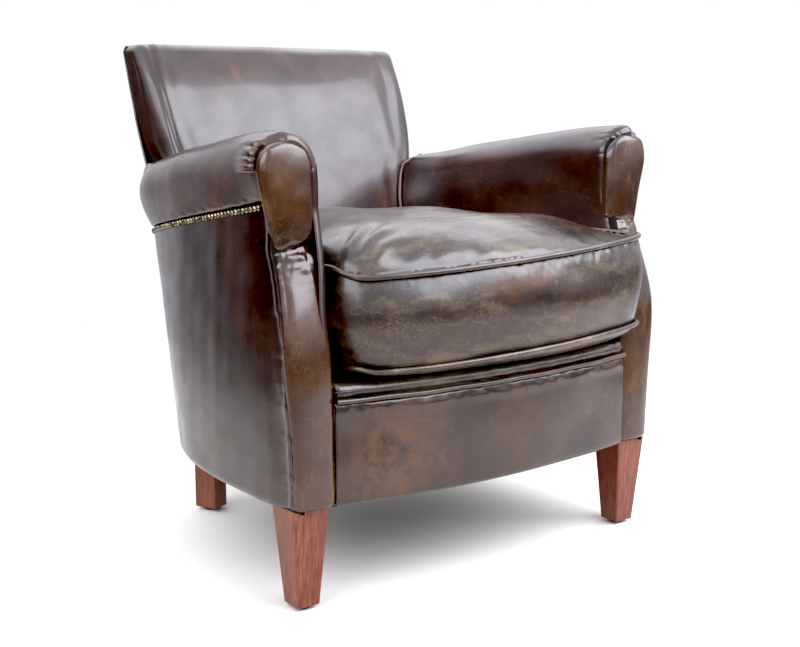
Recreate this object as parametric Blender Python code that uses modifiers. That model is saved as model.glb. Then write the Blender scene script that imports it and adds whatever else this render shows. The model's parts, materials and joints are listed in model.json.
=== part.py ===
"""Worn leather club chair: hardwood frame, springs, padded covers, cushion and legs.

Metres, +Z up, the seat faces -Y. The origin is on the floor under the middle of the
chair's box. Most pieces are blocks bent to the chair's plan: a unit cube is cut into a
grid and a function of (u, v, w) says where each of its points goes.
"""

import math

import bmesh
import bpy
from mathutils import Matrix, Vector

# ---- driving dimensions ----------------------------------------------------
GAP = 0.0003              # space kept between pieces that touch
BASE_Z = 0.140            # underside of the upholstered body
DECK_Z = 0.300            # top of the sprung seat platform
TOP_Z = 0.742             # top of the back
FACING_IN = 0.262         # inner edge of both arm facings
FACING_OUT = 0.325        # outer edge of the lower facing
HEAD_OUT = 0.341          # outer edge of the scroll head
HEAD_TOP = 0.605          # top of the scroll head
FRONT_Y = -0.289          # front of the lower facing
HEAD_Y = -0.254           # front of the scroll head
SLOPE_Z = 0.380           # the lower facing leans back above this height
TUCK_Z = 0.471            # crease where the lower facing meets the head
FACING_T = 0.025          # depth of the padded facings
ARM_FRONT_Y = -0.242      # where the plan of the arms is measured from
ARM_LENGTH = 0.488        # from there to the rear end of the roll
ARM_REAR_Y = 0.243
ARM_TOP_FRONT = 0.616     # ridge of the arm roll near the front
ARM_SLOPE = 0.14          # fall of the ridge towards the back
ROLL_RZ = 0.046           # half height of the arm roll
COVER_T = 0.012           # leather with its padding and board
BACK_T = 0.010            # outside back panel
WOOD_T = 0.022            # sawn rails and uprights
RAIL_TOP = 0.260
POST_IN = 0.2745
POST_OUT = 0.3045
SNUG = 0.0009             # clearance of hidden pieces that follow a curved cover
POST_REAR = -0.190
UPRIGHT_IN = 0.190
UPRIGHT_OUT = 0.2259
LEG_FRONT = (0.290, -0.2525)
LEG_REAR = (0.2013, 0.1767)
LEG_REAR_TURN = math.radians(24.5)
GLIDE_H = 0.004
CUSHION_HALF = 0.257      # half width of the loose cushion at its front
CUSHION_FRONT = -0.3125   # depth of its front corners, on average
CUSHION_SEAM = 0.4455     # middle height of its top seam
CUSHION_FOOT = 0.322      # middle height of its bottom seam along the front
CROWN_TOP = 0.501         # how high its plumped top panel would reach
NAIL_PITCH = 0.0096
NAIL_HALF = 0.0045        # half height of the nail trim
SIDES = {"left": -1, "right": 1}

COLORS = {
    "leather": ((0.045, 0.022, 0.014), 0.32),
    "piping": ((0.16, 0.12, 0.09), 0.4),
    "hardwood": ((0.55, 0.38, 0.22), 0.7),
    "mahogany": ((0.20, 0.05, 0.02), 0.35),
    "brass": ((0.42, 0.30, 0.13), 0.4),
    "steel": ((0.45, 0.45, 0.46), 0.35),
    "cloth": ((0.05, 0.045, 0.04), 0.9),
    "jute": ((0.42, 0.32, 0.18), 0.9),
    "foam": ((0.72, 0.66, 0.48), 0.85),
    "plastic": ((0.02, 0.02, 0.02), 0.5),
}
METALS = ("brass", "steel")

for old in list(bpy.data.objects):
    bpy.data.objects.remove(old, do_unlink=True)


def collection(name):
    found = bpy.data.collections.new(name)
    bpy.context.scene.collection.children.link(found)
    return found


chair = collection("club_chair")
cutters = collection("cutters")


# ---- plain helpers -----------------------------------------------------------
def finish(obj, kind):
    color, rough = COLORS[kind]
    material = bpy.data.materials.new(obj.name + "_" + kind)
    material.use_nodes = True
    shader = material.node_tree.nodes["Principled BSDF"]
    shader.inputs["Base Color"].default_value = (*color, 1.0)
    shader.inputs["Roughness"].default_value = rough
    shader.inputs["Metallic"].default_value = 1.0 if kind in METALS else 0.0
    obj.data.materials.append(material)
    return obj


def add_object(name, data, kind, home=chair):
    obj = bpy.data.objects.new(name, data)
    home.objects.link(obj)
    return finish(obj, kind) if kind else obj


def face_outwards(bm):
    """A block mirrored to the other side of the chair has its faces turned back out."""
    if bm.calc_volume(signed=True) < 0:
        bmesh.ops.reverse_faces(bm, faces=bm.faces)


def bent_block(name, cuts, place, kind, home=chair, smooth=True):
    """A unit cube cut into a grid, each point moved to place(u, v, w)."""
    bm = bmesh.new()
    bmesh.ops.create_cube(bm, size=1.0, matrix=Matrix.Translation((0.5, 0.5, 0.5)))
    for axis, count in enumerate(cuts):
        along = [e for e in bm.edges if abs((e.verts[0].co - e.verts[1].co)[axis]) > 1e-6]
        if count > 1:
            bmesh.ops.subdivide_edges(bm, edges=along, cuts=count - 1, use_grid_fill=True)
    for vert in bm.verts:
        vert.co = Vector(place(*vert.co))
    face_outwards(bm)
    mesh = bpy.data.meshes.new(name)
    bm.to_mesh(mesh)
    bm.free()
    if smooth:
        mesh.shade_smooth()
        mesh.set_sharp_from_angle(angle=math.radians(40))
    return add_object(name, mesh, kind, home)


def box(name, low, high, kind, bevel=0.0):
    """A plain sawn board between two corners."""
    size = Vector(high) - Vector(low)
    center = (Vector(high) + Vector(low)) / 2
    bm = bmesh.new()
    bmesh.ops.create_cube(bm, size=1.0, matrix=Matrix.Diagonal((*size, 1.0)))
    mesh = bpy.data.meshes.new(name)
    bm.to_mesh(mesh)
    bm.free()
    obj = add_object(name, mesh, kind)
    obj.location = center
    if bevel:
        soften(obj, bevel, 1)
    return obj


def soften(obj, width, segments=2, angle=50):
    rounding = obj.modifiers.new("rounded edges", "BEVEL")
    rounding.width = width
    rounding.segments = segments
    rounding.limit_method = "ANGLE"
    rounding.angle_limit = math.radians(angle)
    return rounding


def outline(name, points, low, high, kind, axis="Z", bevel=0.0):
    """A flat outline given depth along one axis, from low to high."""
    data = bpy.data.curves.new(name, "CURVE")
    data.dimensions = "2D"
    data.fill_mode = "BOTH"
    data.extrude = (high - low) / 2 - bevel
    data.bevel_depth = bevel
    data.bevel_resolution = 1
    data.offset = -bevel
    line = data.splines.new("POLY")
    line.points.add(len(points) - 1)
    for spot, (a, b) in zip(line.points, points):
        spot.co = (a, b, 0, 1)
    line.use_cyclic_u = True
    obj = add_object(name, data, kind)
    middle = (high + low) / 2
    if axis == "Z":
        obj.location = (0, 0, middle)
    else:
        obj.rotation_euler = (math.pi / 2, 0, 0)
        obj.location = (0, middle, 0)
    return obj


def tube(name, points, radius, kind, closed=False, resolution=1):
    """A round cord or wire along a chain of points."""
    data = bpy.data.curves.new(name, "CURVE")
    data.dimensions = "3D"
    data.bevel_depth = radius
    data.bevel_resolution = resolution
    data.use_fill_caps = not closed
    line = data.splines.new("POLY")
    line.points.add(len(points) - 1)
    for spot, point in zip(line.points, points):
        spot.co = (*point, 1)
    line.use_cyclic_u = closed
    return add_object(name, data, kind)


def cylinder(name, center, radius, low, high, kind, home=chair, sides=16):
    bm = bmesh.new()
    bmesh.ops.create_cone(bm, cap_ends=True, segments=sides, radius1=radius,
                          radius2=radius, depth=high - low)
    mesh = bpy.data.meshes.new(name)
    bm.to_mesh(mesh)
    bm.free()
    mesh.shade_smooth()
    mesh.set_sharp_from_angle(angle=math.radians(40))
    obj = add_object(name, mesh, kind, home)
    obj.location = (*center, (low + high) / 2)
    return obj


def cut(obj, tool):
    tool.hide_render = True
    tool.display_type = "WIRE"
    hole = obj.modifiers.new("cut", "BOOLEAN")
    hole.operation = "DIFFERENCE"
    hole.solver = "EXACT"
    hole.object = tool


def mix(a, b, t):
    return a + (b - a) * t


def smooth(table, x):
    """Value on a smooth curve through (position, value) pairs."""
    def slope(i):
        (x0, y0), (x1, y1) = table[max(0, i - 1)], table[min(len(table) - 1, i + 1)]
        return (y1 - y0) / (x1 - x0)
    i = 0
    while i < len(table) - 2 and x > table[i + 1][0]:
        i += 1
    (x0, y0), (x1, y1) = table[i], table[i + 1]
    span = x1 - x0
    t = min(1.0, max(0.0, (x - x0) / span))
    ease = t * t * (3 - 2 * t)
    return mix(y0, y1, ease) + span * (t * (1 - t) ** 2 * slope(i) - t * t * (1 - t) * slope(i + 1))


# ---- the plan of the chair ------------------------------------------------------
def corner_y(z):
    """Depth of the rear corner, where outside arm and outside back meet."""
    return smooth([(0.14, 0.172), (0.40, 0.218), (0.50, 0.250), (0.60, 0.296), (TOP_Z, 0.346)], z)


def rear_y(z):
    """Depth of the middle of the outside back."""
    return smooth([(0.14, 0.280), (0.50, 0.310), (TOP_Z, 0.3588)], z)


def corner_x(z):
    return smooth([(0.14, 0.243), (0.50, 0.2505), (0.60, 0.2535), (TOP_Z, 0.2535)], z)


def back_y(x, z):
    """Outer surface of the outside back: barrel curved low down, almost flat on top."""
    return mix(rear_y(z), corner_y(z), min(1.0, abs(x) / corner_x(z)) ** 2)


def face_y(z):
    """Front surface of the inside back, raked and rolled away near its top."""
    return smooth([(0.25, 0.145), (0.62, 0.2375), (0.68, 0.261), (TOP_Z, 0.298)], z)


def front_y(z):
    """Front surface of the facings: upright below, sloped back to the tuck."""
    return mix(FRONT_Y, HEAD_Y, min(1.0, max(0.0, (z - SLOPE_Z) / (TUCK_Z - SLOPE_Z))))


def cover_start(z):
    """Depth where the covers begin, just behind the facings."""
    return front_y(z) + FACING_T + GAP


BACK_LEVELS = [BASE_Z + GAP + (TOP_Z - 0.006 - BASE_Z - GAP) * i / 14 for i in range(15)]


def back_levels(low, high):
    """Heights of the grid rows shared by all pieces that follow the raked back."""
    return [low] + [z for z in BACK_LEVELS if low + 0.02 < z < high - 0.01] + [high]


def rows(levels, w):
    """The height for a grid position w, one grid row for each level."""
    return levels[round(w * (len(levels) - 1))]


def side_x(y, z):
    """Half width of the outside arm panel at depth y and height z."""
    t = (z - BASE_Z) / 0.36
    widest_y = mix(-0.13, -0.10, t)
    power = mix(2.4, 2.6, t)
    width = 0.329 + 0.005 * math.sin(math.pi * min(1.0, max(0.0, t)))
    if y < widest_y:
        return width - (width - 0.318) * ((widest_y - y) / (widest_y - FRONT_Y)) ** 2.2
    reach = (corner_y(z) - widest_y) / (1 - (corner_x(z) / width) ** power) ** (1 / power)
    return width * (1 - min(0.999, (y - widest_y) / reach) ** power) ** (1 / power)


def side_point(y, z, inset):
    """Point on the right side panel, moved in by inset along the plan's normal."""
    step = 0.002
    slope = (side_x(y + step, z) - side_x(y - step, z)) / (2 * step)
    length = math.hypot(1, slope)
    return side_x(y, z) - inset / length, y + inset * slope / length


def arm_t(y):
    return max(0.0, (y - ARM_FRONT_Y) / ARM_LENGTH)


def arm_in(y):
    t = arm_t(y)
    return FACING_IN - 0.040 * t - 0.020 * t ** 5


def arm_out(y):
    t = arm_t(y)
    return HEAD_OUT - 0.022 * t - 0.057 * t ** 8


def ridge_z(y):
    return ARM_TOP_FRONT - ARM_SLOPE * (y + 0.2)


def nail_z(y):
    return ridge_z(y) - 0.097 - 0.010 * arm_t(y)


def rail_z(y):
    """Top of the wooden arm rail inside the roll."""
    return ridge_z(y) - 0.081


def rail_out(y):
    """Outer edge of the arm rail, inside the outside arm panel."""
    return min(arm_out(y) - 0.030, side_x(y, nail_z(y)) - 0.018)


def bow_y(x):
    """Front of the seat rail, bowed forward in the middle."""
    return FRONT_Y - 0.028 * (1 - (x / FACING_IN) ** 2)


# ---- hardwood frame ---------------------------------------------------------------
def front_post(side, sign):
    """Arm stump: a thick board sawn to the profile of the facings."""
    def place(u, v, w):
        z = rows((BASE_Z + GAP, SLOPE_Z, TUCK_Z, 0.51), w)
        y = mix(cover_start(z), POST_REAR, v)
        top = rail_z(y) - WOOD_T - GAP
        return sign * mix(POST_IN, POST_OUT, u), y, top if z > TUCK_Z else z
    post = bent_block("front_post_" + side, (1, 1, 3), place, "hardwood", smooth=False)
    cut(post, bolt_hole("front_post_hole_" + side, sign, FRONT_BOLT, BASE_Z - 0.01, BASE_Z + 0.045))


def arm_rail(side, sign):
    """Sloping board that carries the arm roll."""
    end_y = face_y(0.45) - 0.017

    def place(u, v, w):
        y = mix(HEAD_Y + FACING_T + GAP, end_y, v)
        z = rail_z(y) - WOOD_T * (1 - w)
        return sign * mix(arm_in(y) + COVER_T + SNUG, rail_out(y) - SNUG, u), y, z
    bent_block("arm_rail_" + side, (1, 12, 1), place, "hardwood", smooth=False)


def side_rail(side, sign):
    def place(u, v, w):
        y = mix(POST_REAR + GAP, 0.135, v)
        z = mix(BASE_Z + GAP, RAIL_TOP, w)
        x, y = side_point(y, z, COVER_T + SNUG + WOOD_T * u)
        return sign * x, max(y, POST_REAR + GAP), z
    bent_block("side_rail_" + side, (1, 12, 3), place, "hardwood", smooth=False)


def rear_rail():
    def place(u, v, w):
        x = mix(-0.150, 0.150, u)
        z = mix(BASE_Z + GAP, RAIL_TOP, w)
        return x, back_y(x, z) - BACK_T - SNUG - WOOD_T * (1 - v), z
    bent_block("rear_rail", (10, 1, 2), place, "hardwood", smooth=False)


def back_upright(side, sign):
    levels = back_levels(0.2003, TOP_Z - 0.0155)

    def place(u, v, w):
        x = mix(UPRIGHT_IN, UPRIGHT_OUT, u)
        z = rows(levels, w)
        return sign * x, back_y(x, z) - BACK_T - 2.2 * SNUG - WOOD_T * (1 - v), z
    bent_block("back_upright_" + side, (1, 1, len(levels) - 1), place, "hardwood", smooth=False)


def back_rail(name, low, high):
    """A cross rail between the uprights, sawn to the curve of the back."""
    reach = UPRIGHT_IN - GAP

    def place(u, v, w):
        x = mix(-reach, reach, u)
        z = mix(low, high, w)
        return x, back_y(x, z) - BACK_T - SNUG - WOOD_T * (1 - v), z
    bent_block(name, (8, 1, 1), place, "hardwood", smooth=False)


def front_block(side, sign):
    reach = POST_IN - GAP
    corner = (sign * reach, FRONT_RAIL_REAR + GAP)
    ends = [(sign * reach, FRONT_RAIL_REAR + 0.055), (sign * (reach - 0.055), FRONT_RAIL_REAR + GAP)]
    outline("front_block_" + side, [corner, *ends], BASE_Z + GAP, 0.205, "hardwood")


def rear_block(side, sign):
    block = box("rear_block_" + side, (-0.017, -0.017, -0.0298), (0.017, 0.017, 0.0298), "hardwood")
    block.location = (sign * 0.190, 0.163, 0.1702)
    block.rotation_euler = (0, 0, -sign * LEG_REAR_TURN)
    cut(block, bolt_hole("rear_block_hole_" + side, sign, REAR_BOLT, BASE_Z - 0.01, BASE_Z + 0.045))


FRONT_RAIL_FRONT = FRONT_Y + FACING_T + GAP
FRONT_RAIL_REAR = FRONT_RAIL_FRONT + WOOD_T
FRONT_BOLT = (0.2935, -0.242)
REAR_BOLT = (0.192, 0.168)


def bolt_hole(name, sign, spot, low, high):
    return cylinder(name, (sign * spot[0], spot[1]), 0.0043, low, high, None, cutters, 12)


def frame():
    for side, sign in SIDES.items():
        front_post(side, sign)
        arm_rail(side, sign)
        side_rail(side, sign)
        back_upright(side, sign)
        front_block(side, sign)
        rear_block(side, sign)
    reach = POST_IN - GAP
    low = (-reach, FRONT_RAIL_FRONT, BASE_Z + GAP)
    box("front_rail", low, (reach, FRONT_RAIL_REAR, RAIL_TOP), "hardwood")
    rear_rail()
    back_rail("back_lower_rail", 0.335, 0.375)
    back_rail("back_top_rail", 0.694, TOP_Z - 0.0155)


# ---- springs, deck, webbing and dust cover --------------------------------------------
WIRE_R = 0.0019
DECK_LOW = RAIL_TOP + 2 * WIRE_R + 2 * GAP


def seat_spring(number, x):
    """A zigzag wire from the front rail to the rear rail."""
    start = FRONT_RAIL_FRONT + 0.008
    end = back_y(abs(x) + 0.018, RAIL_TOP) - BACK_T - 0.010
    turns = 11
    points = [(x, start, 0)]
    for i in range(turns + 1):
        y = mix(start + 0.010, end - 0.010, i / turns)
        swing = 0.018 * (1 if i % 2 else -1)
        points += [(x + swing, y - 0.005, 0), (x + swing, y + 0.005, 0)]
    points.append((x, end, 0))
    height = RAIL_TOP + WIRE_R + GAP
    tube("seat_spring_%d" % number, [(a, b, height) for a, b, _ in points], WIRE_R, "steel")


def seat_deck():
    """Foam and cloth platform over the springs, fitted between the arms."""
    def place(u, v, w):
        y = mix(FRONT_RAIL_REAR - 0.0055, 0.156, v)
        x = (2 * u - 1) * (arm_in(y) - SNUG)
        return x, y, mix(DECK_LOW, DECK_Z, w)
    bent_block("seat_deck", (2, 8, 1), place, "foam")


def back_strap(number, x):
    """A web strap from the top rail to the lower rail, in front of both."""
    def place(u, v, w):
        across = x + mix(-0.025, 0.025, u)
        z = mix(0.345, 0.718, w)
        y = back_y(across, z) - BACK_T - WOOD_T - 2.5 * SNUG - 0.002 * (1 - v)
        return across, y, z
    bent_block("back_strap_%d" % number, (2, 1, 8), place, "jute", smooth=False)


def dust_cover():
    right = [(0.2590, -0.262), (0.2590, -0.222), (0.305, -0.222), (0.312, -0.10), (0.300, 0.03),
             (0.262, 0.105), (0.158, 0.125), (0.150, 0.200), (0.070, 0.255)]
    points = right + [(-x, y) for x, y in reversed(right)]
    outline("dust_cover", points, BASE_Z - 0.0015, BASE_Z, "cloth")


def suspension():
    for number in range(5):
        seat_spring(number + 1, (number - 2) * 0.078)
    seat_deck()
    for number in range(3):
        back_strap(number + 1, (number - 1) * 0.115)
    dust_cover()


# ---- leather covers ---------------------------------------------------------------------
def side_panel(side, sign):
    """Outside arm: follows the barrel plan from the facing to the rear corner."""
    front_top = nail_z(cover_start(TUCK_Z)) + NAIL_HALF
    tuck_share = (TUCK_Z - SLOPE_Z) / (front_top - SLOPE_Z)
    levels = [BASE_Z + GAP, 0.19, 0.25, 0.315, SLOPE_Z]
    shares = [tuck_share / 2, tuck_share, 1.0]

    def place(u, v, w):
        row = round(w * (len(levels) + len(shares) - 1))
        z = levels[min(row, len(levels) - 1)]
        share = shares[row - len(levels)] if row >= len(levels) else 0.0
        for _ in range(6):
            start = mix(cover_start(SLOPE_Z), cover_start(TUCK_Z), min(1.0, share / tuck_share))
            y = mix(start, corner_y(z) - BACK_T - GAP, v)
            if share:
                z = mix(SLOPE_Z, nail_z(y) + NAIL_HALF, share)
        x, inset_y = side_point(y, z, mix(0, COVER_T, u))
        return sign * x, y if v == 1 else max(inset_y, start), z
    bent_block("side_panel_" + side, (1, 16, len(levels) + len(shares) - 1), place, "leather")


def outside_back():
    def place(u, v, w):
        z = rows(BACK_LEVELS, w)
        x = (2 * u - 1) * corner_x(z)
        return x, back_y(x, z) - BACK_T * (1 - v), z
    bent_block("outside_back", (12, 1, len(BACK_LEVELS) - 1), place, "leather")


def back_half_width(z):
    """The inside back is narrow between the arms and wider above them."""
    return smooth([(0.25, 0.2085), (0.36, 0.2085), (0.485, 0.2095), (0.565, 0.2365), (TOP_Z, 0.2500)], z)


def inside_back():
    levels = back_levels(DECK_Z + GAP, TOP_Z)

    def place(u, v, w):
        z = rows(levels, w)
        x = (2 * u - 1) * back_half_width(z)
        crown = 0.008 * (1 - (2 * u - 1) ** 4) * math.sin(math.pi * min(1.0, max(0.0, w)))
        return x, mix(face_y(z) - crown, back_y(x, z) - BACK_T - 1.7 * SNUG, v), z
    back = bent_block("inside_back", (8, 1, len(levels) - 1), place, "leather")
    soften(back, 0.011, 2, 60)

    def hollow(u, v, w):
        z = mix(0.27, TOP_Z - 0.0152, w)
        x = (2 * u - 1) * (UPRIGHT_OUT + GAP)
        return x, mix(back_y(x, z) - BACK_T - 0.0268, 0.45, v), z
    cut(back, bent_block("frame_hollow", (8, 1, 10), hollow, None, cutters))


def arm_section(y, closing):
    """Outer and inner contour of the arm cover at depth y. Closing runs from 0, the
    full hook that drapes the rail and the inside of the arm, to 1, the solid rear end."""
    inner = mix(arm_in(y), ROLL_END_IN, closing)
    outer = max(arm_out(y), inner + 0.010)
    reach = (outer - inner) / 2
    middle = inner + reach
    center_z = ridge_z(y) - ROLL_RZ
    drop = mix(1.0, 0.97, closing)
    lip_z = nail_z(y) + NAIL_HALF + GAP
    skirt_z = mix(DECK_LOW, lip_z, min(1.0, 1.2 * closing))
    lip_x = max(min(side_x(y, nail_z(y)) + 0.0005, outer - 0.002), inner + 0.004)
    leg = [mix(skirt_z, center_z, share) for share in LEG_SHARES]
    outside = [(inner, z) for z in leg]
    for i in range(ROLL_STEPS + 1):
        angle = math.pi * (1 - i / ROLL_STEPS)
        outside.append((middle + reach * math.cos(angle), center_z + ROLL_RZ * drop * math.sin(angle)))
    outside += [(mix(outer, lip_x, 0.35), mix(center_z, lip_z, 0.55)), (lip_x, lip_z)]
    slot_in = inner + mix(COVER_T, 0.001, closing)
    slot_out = mix(rail_out(y) + SNUG, lip_x - 0.001, closing)
    roof = mix(rail_z(y) + GAP, lip_z + 0.0002, closing)
    inside = [(slot_in, min(z, roof)) for z in leg]
    inside += [(mix(slot_in, slot_out, i / ROLL_STEPS), roof) for i in range(ROLL_STEPS + 1)]
    inside += [(slot_out, mix(roof, lip_z, 0.5)), (slot_out, lip_z)]
    return outside, inside


ROLL_STEPS = 10
ROLL_END_IN = 0.2530
FRONT_CENTER_Z = ridge_z(cover_start(TUCK_Z)) - ROLL_RZ
LEG_SHARES = [(z - DECK_LOW) / (FRONT_CENTER_Z - DECK_LOW)
              for z in (DECK_LOW, SLOPE_Z, (SLOPE_Z + TUCK_Z) / 2, TUCK_Z)]


def arm_cover(side, sign):
    """Inside arm, roll and the lip over the nail line, in one hook over the rail."""
    count = ROLL_STEPS + len(LEG_SHARES) + 2
    stations = 14
    turn = 11

    def place(u, v, w):
        station = round(v * stations)
        index = round(u * count)

        def depth(z):
            start = cover_start(z)
            back = face_y(z) - GAP
            if station <= turn:
                return mix(start, back - 0.008, station / turn)
            if station == turn + 1:
                return back - 0.001
            return mix(back + 0.006, ARM_REAR_Y, (station - turn - 2) / (stations - turn - 2))
        closing = 0.0
        if station == turn + 1:
            closing = 0.85
        elif station > turn + 1:
            closing = 1.0
        z = 0.5
        for _ in range(4):
            outside, inside = arm_section(depth(z), closing)
            z = (inside if w > 0.5 else outside)[index][1]
        y = depth(z)
        x = (inside if w > 0.5 else outside)[index][0]
        return sign * x, y, z
    bent_block("arm_cover_" + side, (count, stations, 1), place, "leather")


def facing_head(side, sign):
    """Padded scroll head on the front of the arm roll."""
    middle = (FACING_IN + HEAD_OUT) / 2
    radius = (HEAD_OUT - FACING_IN) / 2
    center_z = HEAD_TOP - radius
    points = [(FACING_IN, TUCK_Z + 0.0015), (FACING_IN, center_z)]
    points += [(middle - radius * math.cos(math.pi * i / 12), center_z + radius * math.sin(math.pi * i / 12))
               for i in range(1, 13)]
    points += [(HEAD_OUT - 0.004, center_z - 0.025), (HEAD_OUT - 0.013, center_z - 0.055),
               (FACING_OUT - 0.001, TUCK_Z + 0.0015)]
    points = [(sign * x, z) for x, z in points]
    outline("facing_head_" + side, points, HEAD_Y, HEAD_Y + FACING_T - GAP, "leather", "Y", 0.005)


def facing_post(side, sign):
    """Padded lower facing, from the body's base up to the tuck."""
    def place(u, v, w):
        z = rows((BASE_Z + GAP, 0.26, SLOPE_Z, (SLOPE_Z + TUCK_Z) / 2, TUCK_Z), w)
        pad = 0.004 * (1 - (2 * u - 1) ** 4)
        y = front_y(z) + mix(0.004 - pad, FACING_T, v)
        x = mix(FACING_IN, FACING_OUT, u)
        return sign * x, y, z
    pad = bent_block("facing_post_" + side, (6, 1, 4), place, "leather")
    soften(pad, 0.004, 1, 60)


def front_panel():
    """Leather apron over the front rail."""
    reach = FACING_IN - GAP

    def place(u, v, w):
        x = (2 * u - 1) * reach
        return x, mix(bow_y(x), FRONT_RAIL_FRONT - GAP, v), mix(BASE_Z + GAP, 0.2730, w)
    panel = bent_block("front_panel", (12, 1, 3), place, "leather")
    soften(panel, 0.003, 1, 60)


def front_lip():
    """Padded roll along the front edge of the platform."""
    reach = FACING_IN - SNUG

    def place(u, v, w):
        x = (2 * u - 1) * reach
        z = mix(0.2810, DECK_Z - 0.003, w)
        return x, mix(bow_y(x) + 0.003, FRONT_RAIL_REAR - 0.006, v), z
    lip = bent_block("front_lip", (12, 1, 1), place, "leather")
    soften(lip, 0.005, 2, 60)


def front_welt():
    reach = FACING_IN - 0.001
    points = []
    for i in range(13):
        x = mix(-reach, reach, i / 12)
        points.append((x, bow_y(x) + 0.001, 0.2770))
    tube("front_welt", points, 0.0035, "piping")


def back_piping(side, sign):
    """Cord in the joint between the end of the arm and the inside back."""
    radius = 0.0033
    off = 0.95 * radius           # a flat of the eight-sided cord faces the leather
    before = 0.0078
    points = []
    for z in (0.34, 0.38, 0.42, 0.46, 0.49, 0.51):
        y = face_y(z) - before
        points.append((sign * (arm_in(y) - off), y, z))
    y_turn = face_y(0.55) - before
    middle = (arm_in(y_turn) + arm_out(y_turn)) / 2
    center_z = ridge_z(y_turn) - ROLL_RZ
    for i in range(1, 6):
        angle = math.pi * (1 - i / 11)
        x = middle + (middle - arm_in(y_turn) + off) * math.cos(angle)
        z = center_z + (ROLL_RZ + off) * math.sin(angle)
        points.append((sign * x, face_y(z) - before, z))
    tube("back_piping_" + side, points, radius, "piping")


def nail_strip(side, sign):
    """Close-set domed nails along the joint under the arm roll, as one beaded strip."""
    start = cover_start(TUCK_Z) + 0.004
    end = corner_y(0.46) - 0.016
    domes = int((end - start) / NAIL_PITCH)

    def place(u, v, w):
        y = mix(start, end, v)
        bead = 1.0 if round(v * 2 * domes) % 2 else 0.5
        half = NAIL_HALF * mix(0.95, 0.6 * bead, w)
        rise = SNUG + w * (0.0006 + 0.0026 * bead)
        z = nail_z(y) + (2 * u - 1) * half
        x, y = side_point(y, nail_z(y), -rise)
        return sign * x, y, z
    bent_block("nail_strip_" + side, (1, 2 * domes, 1), place, "brass")


# ---- loose cushion --------------------------------------------------------------------------
def share(value, start, end):
    """0 at start, 1 at end, and level beyond both."""
    return min(1.0, max(0.0, (value - start) / (end - start)))


def cushion_half(y):
    """Half width of the cushion at depth y, following the arms."""
    return arm_in(max(y, HEAD_Y)) - 0.0072


def cushion_front(x):
    """The bowed front border, skewed because the cushion has shifted in its seat."""
    return CUSHION_FRONT - 0.040 * (1 - (x / CUSHION_HALF) ** 2) - 0.0125 * x / CUSHION_HALF


def cushion_slide(x, y):
    """How far the border has slid to the right: its front corner stands before the facing."""
    corner = 0.014 * share(x, 0.15, 0.25) * share(-y, 0.292, 0.312)
    return corner + 0.010 * share(-x, 0.10, 0.20) * share(-y, 0.18, 0.26)


def cushion_edge(count=44):
    """Plan of the cushion's border, anticlockwise from the middle of its front."""
    rear = 0.143
    corner = 0.030
    points = []
    for i in range(count):
        angle = 2 * math.pi * i / count
        c, s = math.sin(angle), -math.cos(angle)
        grow = 1 / (abs(c) ** 7 + abs(s) ** 7) ** (1 / 7)
        u, v = c * grow, s * grow
        y = mix(CUSHION_FRONT, rear, (v + 1) / 2)
        x = u * cushion_half(y)
        if v < 0:
            y = mix(y, cushion_front(x) + corner * (1 + v) * 3, (-v) ** 3)
        points.append((x + cushion_slide(x, y), y))
    return points


def top_seam(x, y):
    """Height of the top seam: lower to the left, and drooping at the front left corner."""
    return CUSHION_SEAM + 0.014 * x / 0.25 + 0.013 * share(-x, 0.18, 0.25) * share(y, -0.305, -0.26)


def low_seam(x, y):
    """Height of the bottom seam: on the deck, but lifted where it overhangs the front rail."""
    lifted = CUSHION_FOOT + 0.0105 * x / 0.25
    return mix(DECK_Z + GAP + 0.0125, lifted, share(-y, 0.24, 0.30))


def crown(x, y, depth):
    """Height of the top panel: plumped soon behind its seam, and falling to the right and rear."""
    fall = 0.031 * (math.hypot(x + 0.05, 0.05) + x + 0.05) + 0.045 * max(0.0, y + 0.1)
    rise = (1 - (1 - min(1.0, depth / 0.2)) ** 2.6) ** 0.55
    return mix(top_seam(x, y), CROWN_TOP - fall, rise)


CUSHION_MIDDLE = Vector((0.0, -0.08))


def cushion_rings(x, y):
    """Points of the cushion's section at one place of its border, from base to crown."""
    base = DECK_Z + GAP
    high, low = top_seam(x, y), low_seam(x, y)
    way = CUSHION_MIDDLE - Vector((x, y))
    reach = way.length
    under = mix(base, low - 0.0125, 0.45)
    insets = [(0.55 * reach, base), (0.030, under), (0.006, low - 0.006), (0.0, low),
              (-0.0025, mix(low, high, 0.25)), (-0.0025, mix(low, high, 0.75)), (0.0, high - 0.006),
              (0.006, high)]
    for inset in (0.04, 0.12, 0.30, 0.62):
        spot = Vector((x, y)) + way * inset
        insets.append((inset * reach, crown(spot.x, spot.y, inset * reach)))
    ring = []
    for inset, z in insets:
        spot = Vector((x, y)) + way.normalized() * inset
        ring.append((spot.x, spot.y, z))
    return ring


def cushion():
    bm = bmesh.new()
    columns = [[bm.verts.new(spot) for spot in cushion_rings(x, y)] for x, y in cushion_edge()]
    for left, right in zip(columns, columns[1:] + columns[:1]):
        for i in range(len(left) - 1):
            bm.faces.new((left[i], right[i], right[i + 1], left[i + 1]))
    bm.faces.new([column[0] for column in reversed(columns)])
    bm.faces.new([column[-1] for column in columns])
    face_outwards(bm)
    bmesh.ops.triangulate(bm, faces=[f for f in bm.faces if len(f.verts) > 4])
    mesh = bpy.data.meshes.new("seat_cushion")
    bm.to_mesh(mesh)
    bm.free()
    mesh.shade_smooth()
    add_object("seat_cushion", mesh, "leather")


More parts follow.
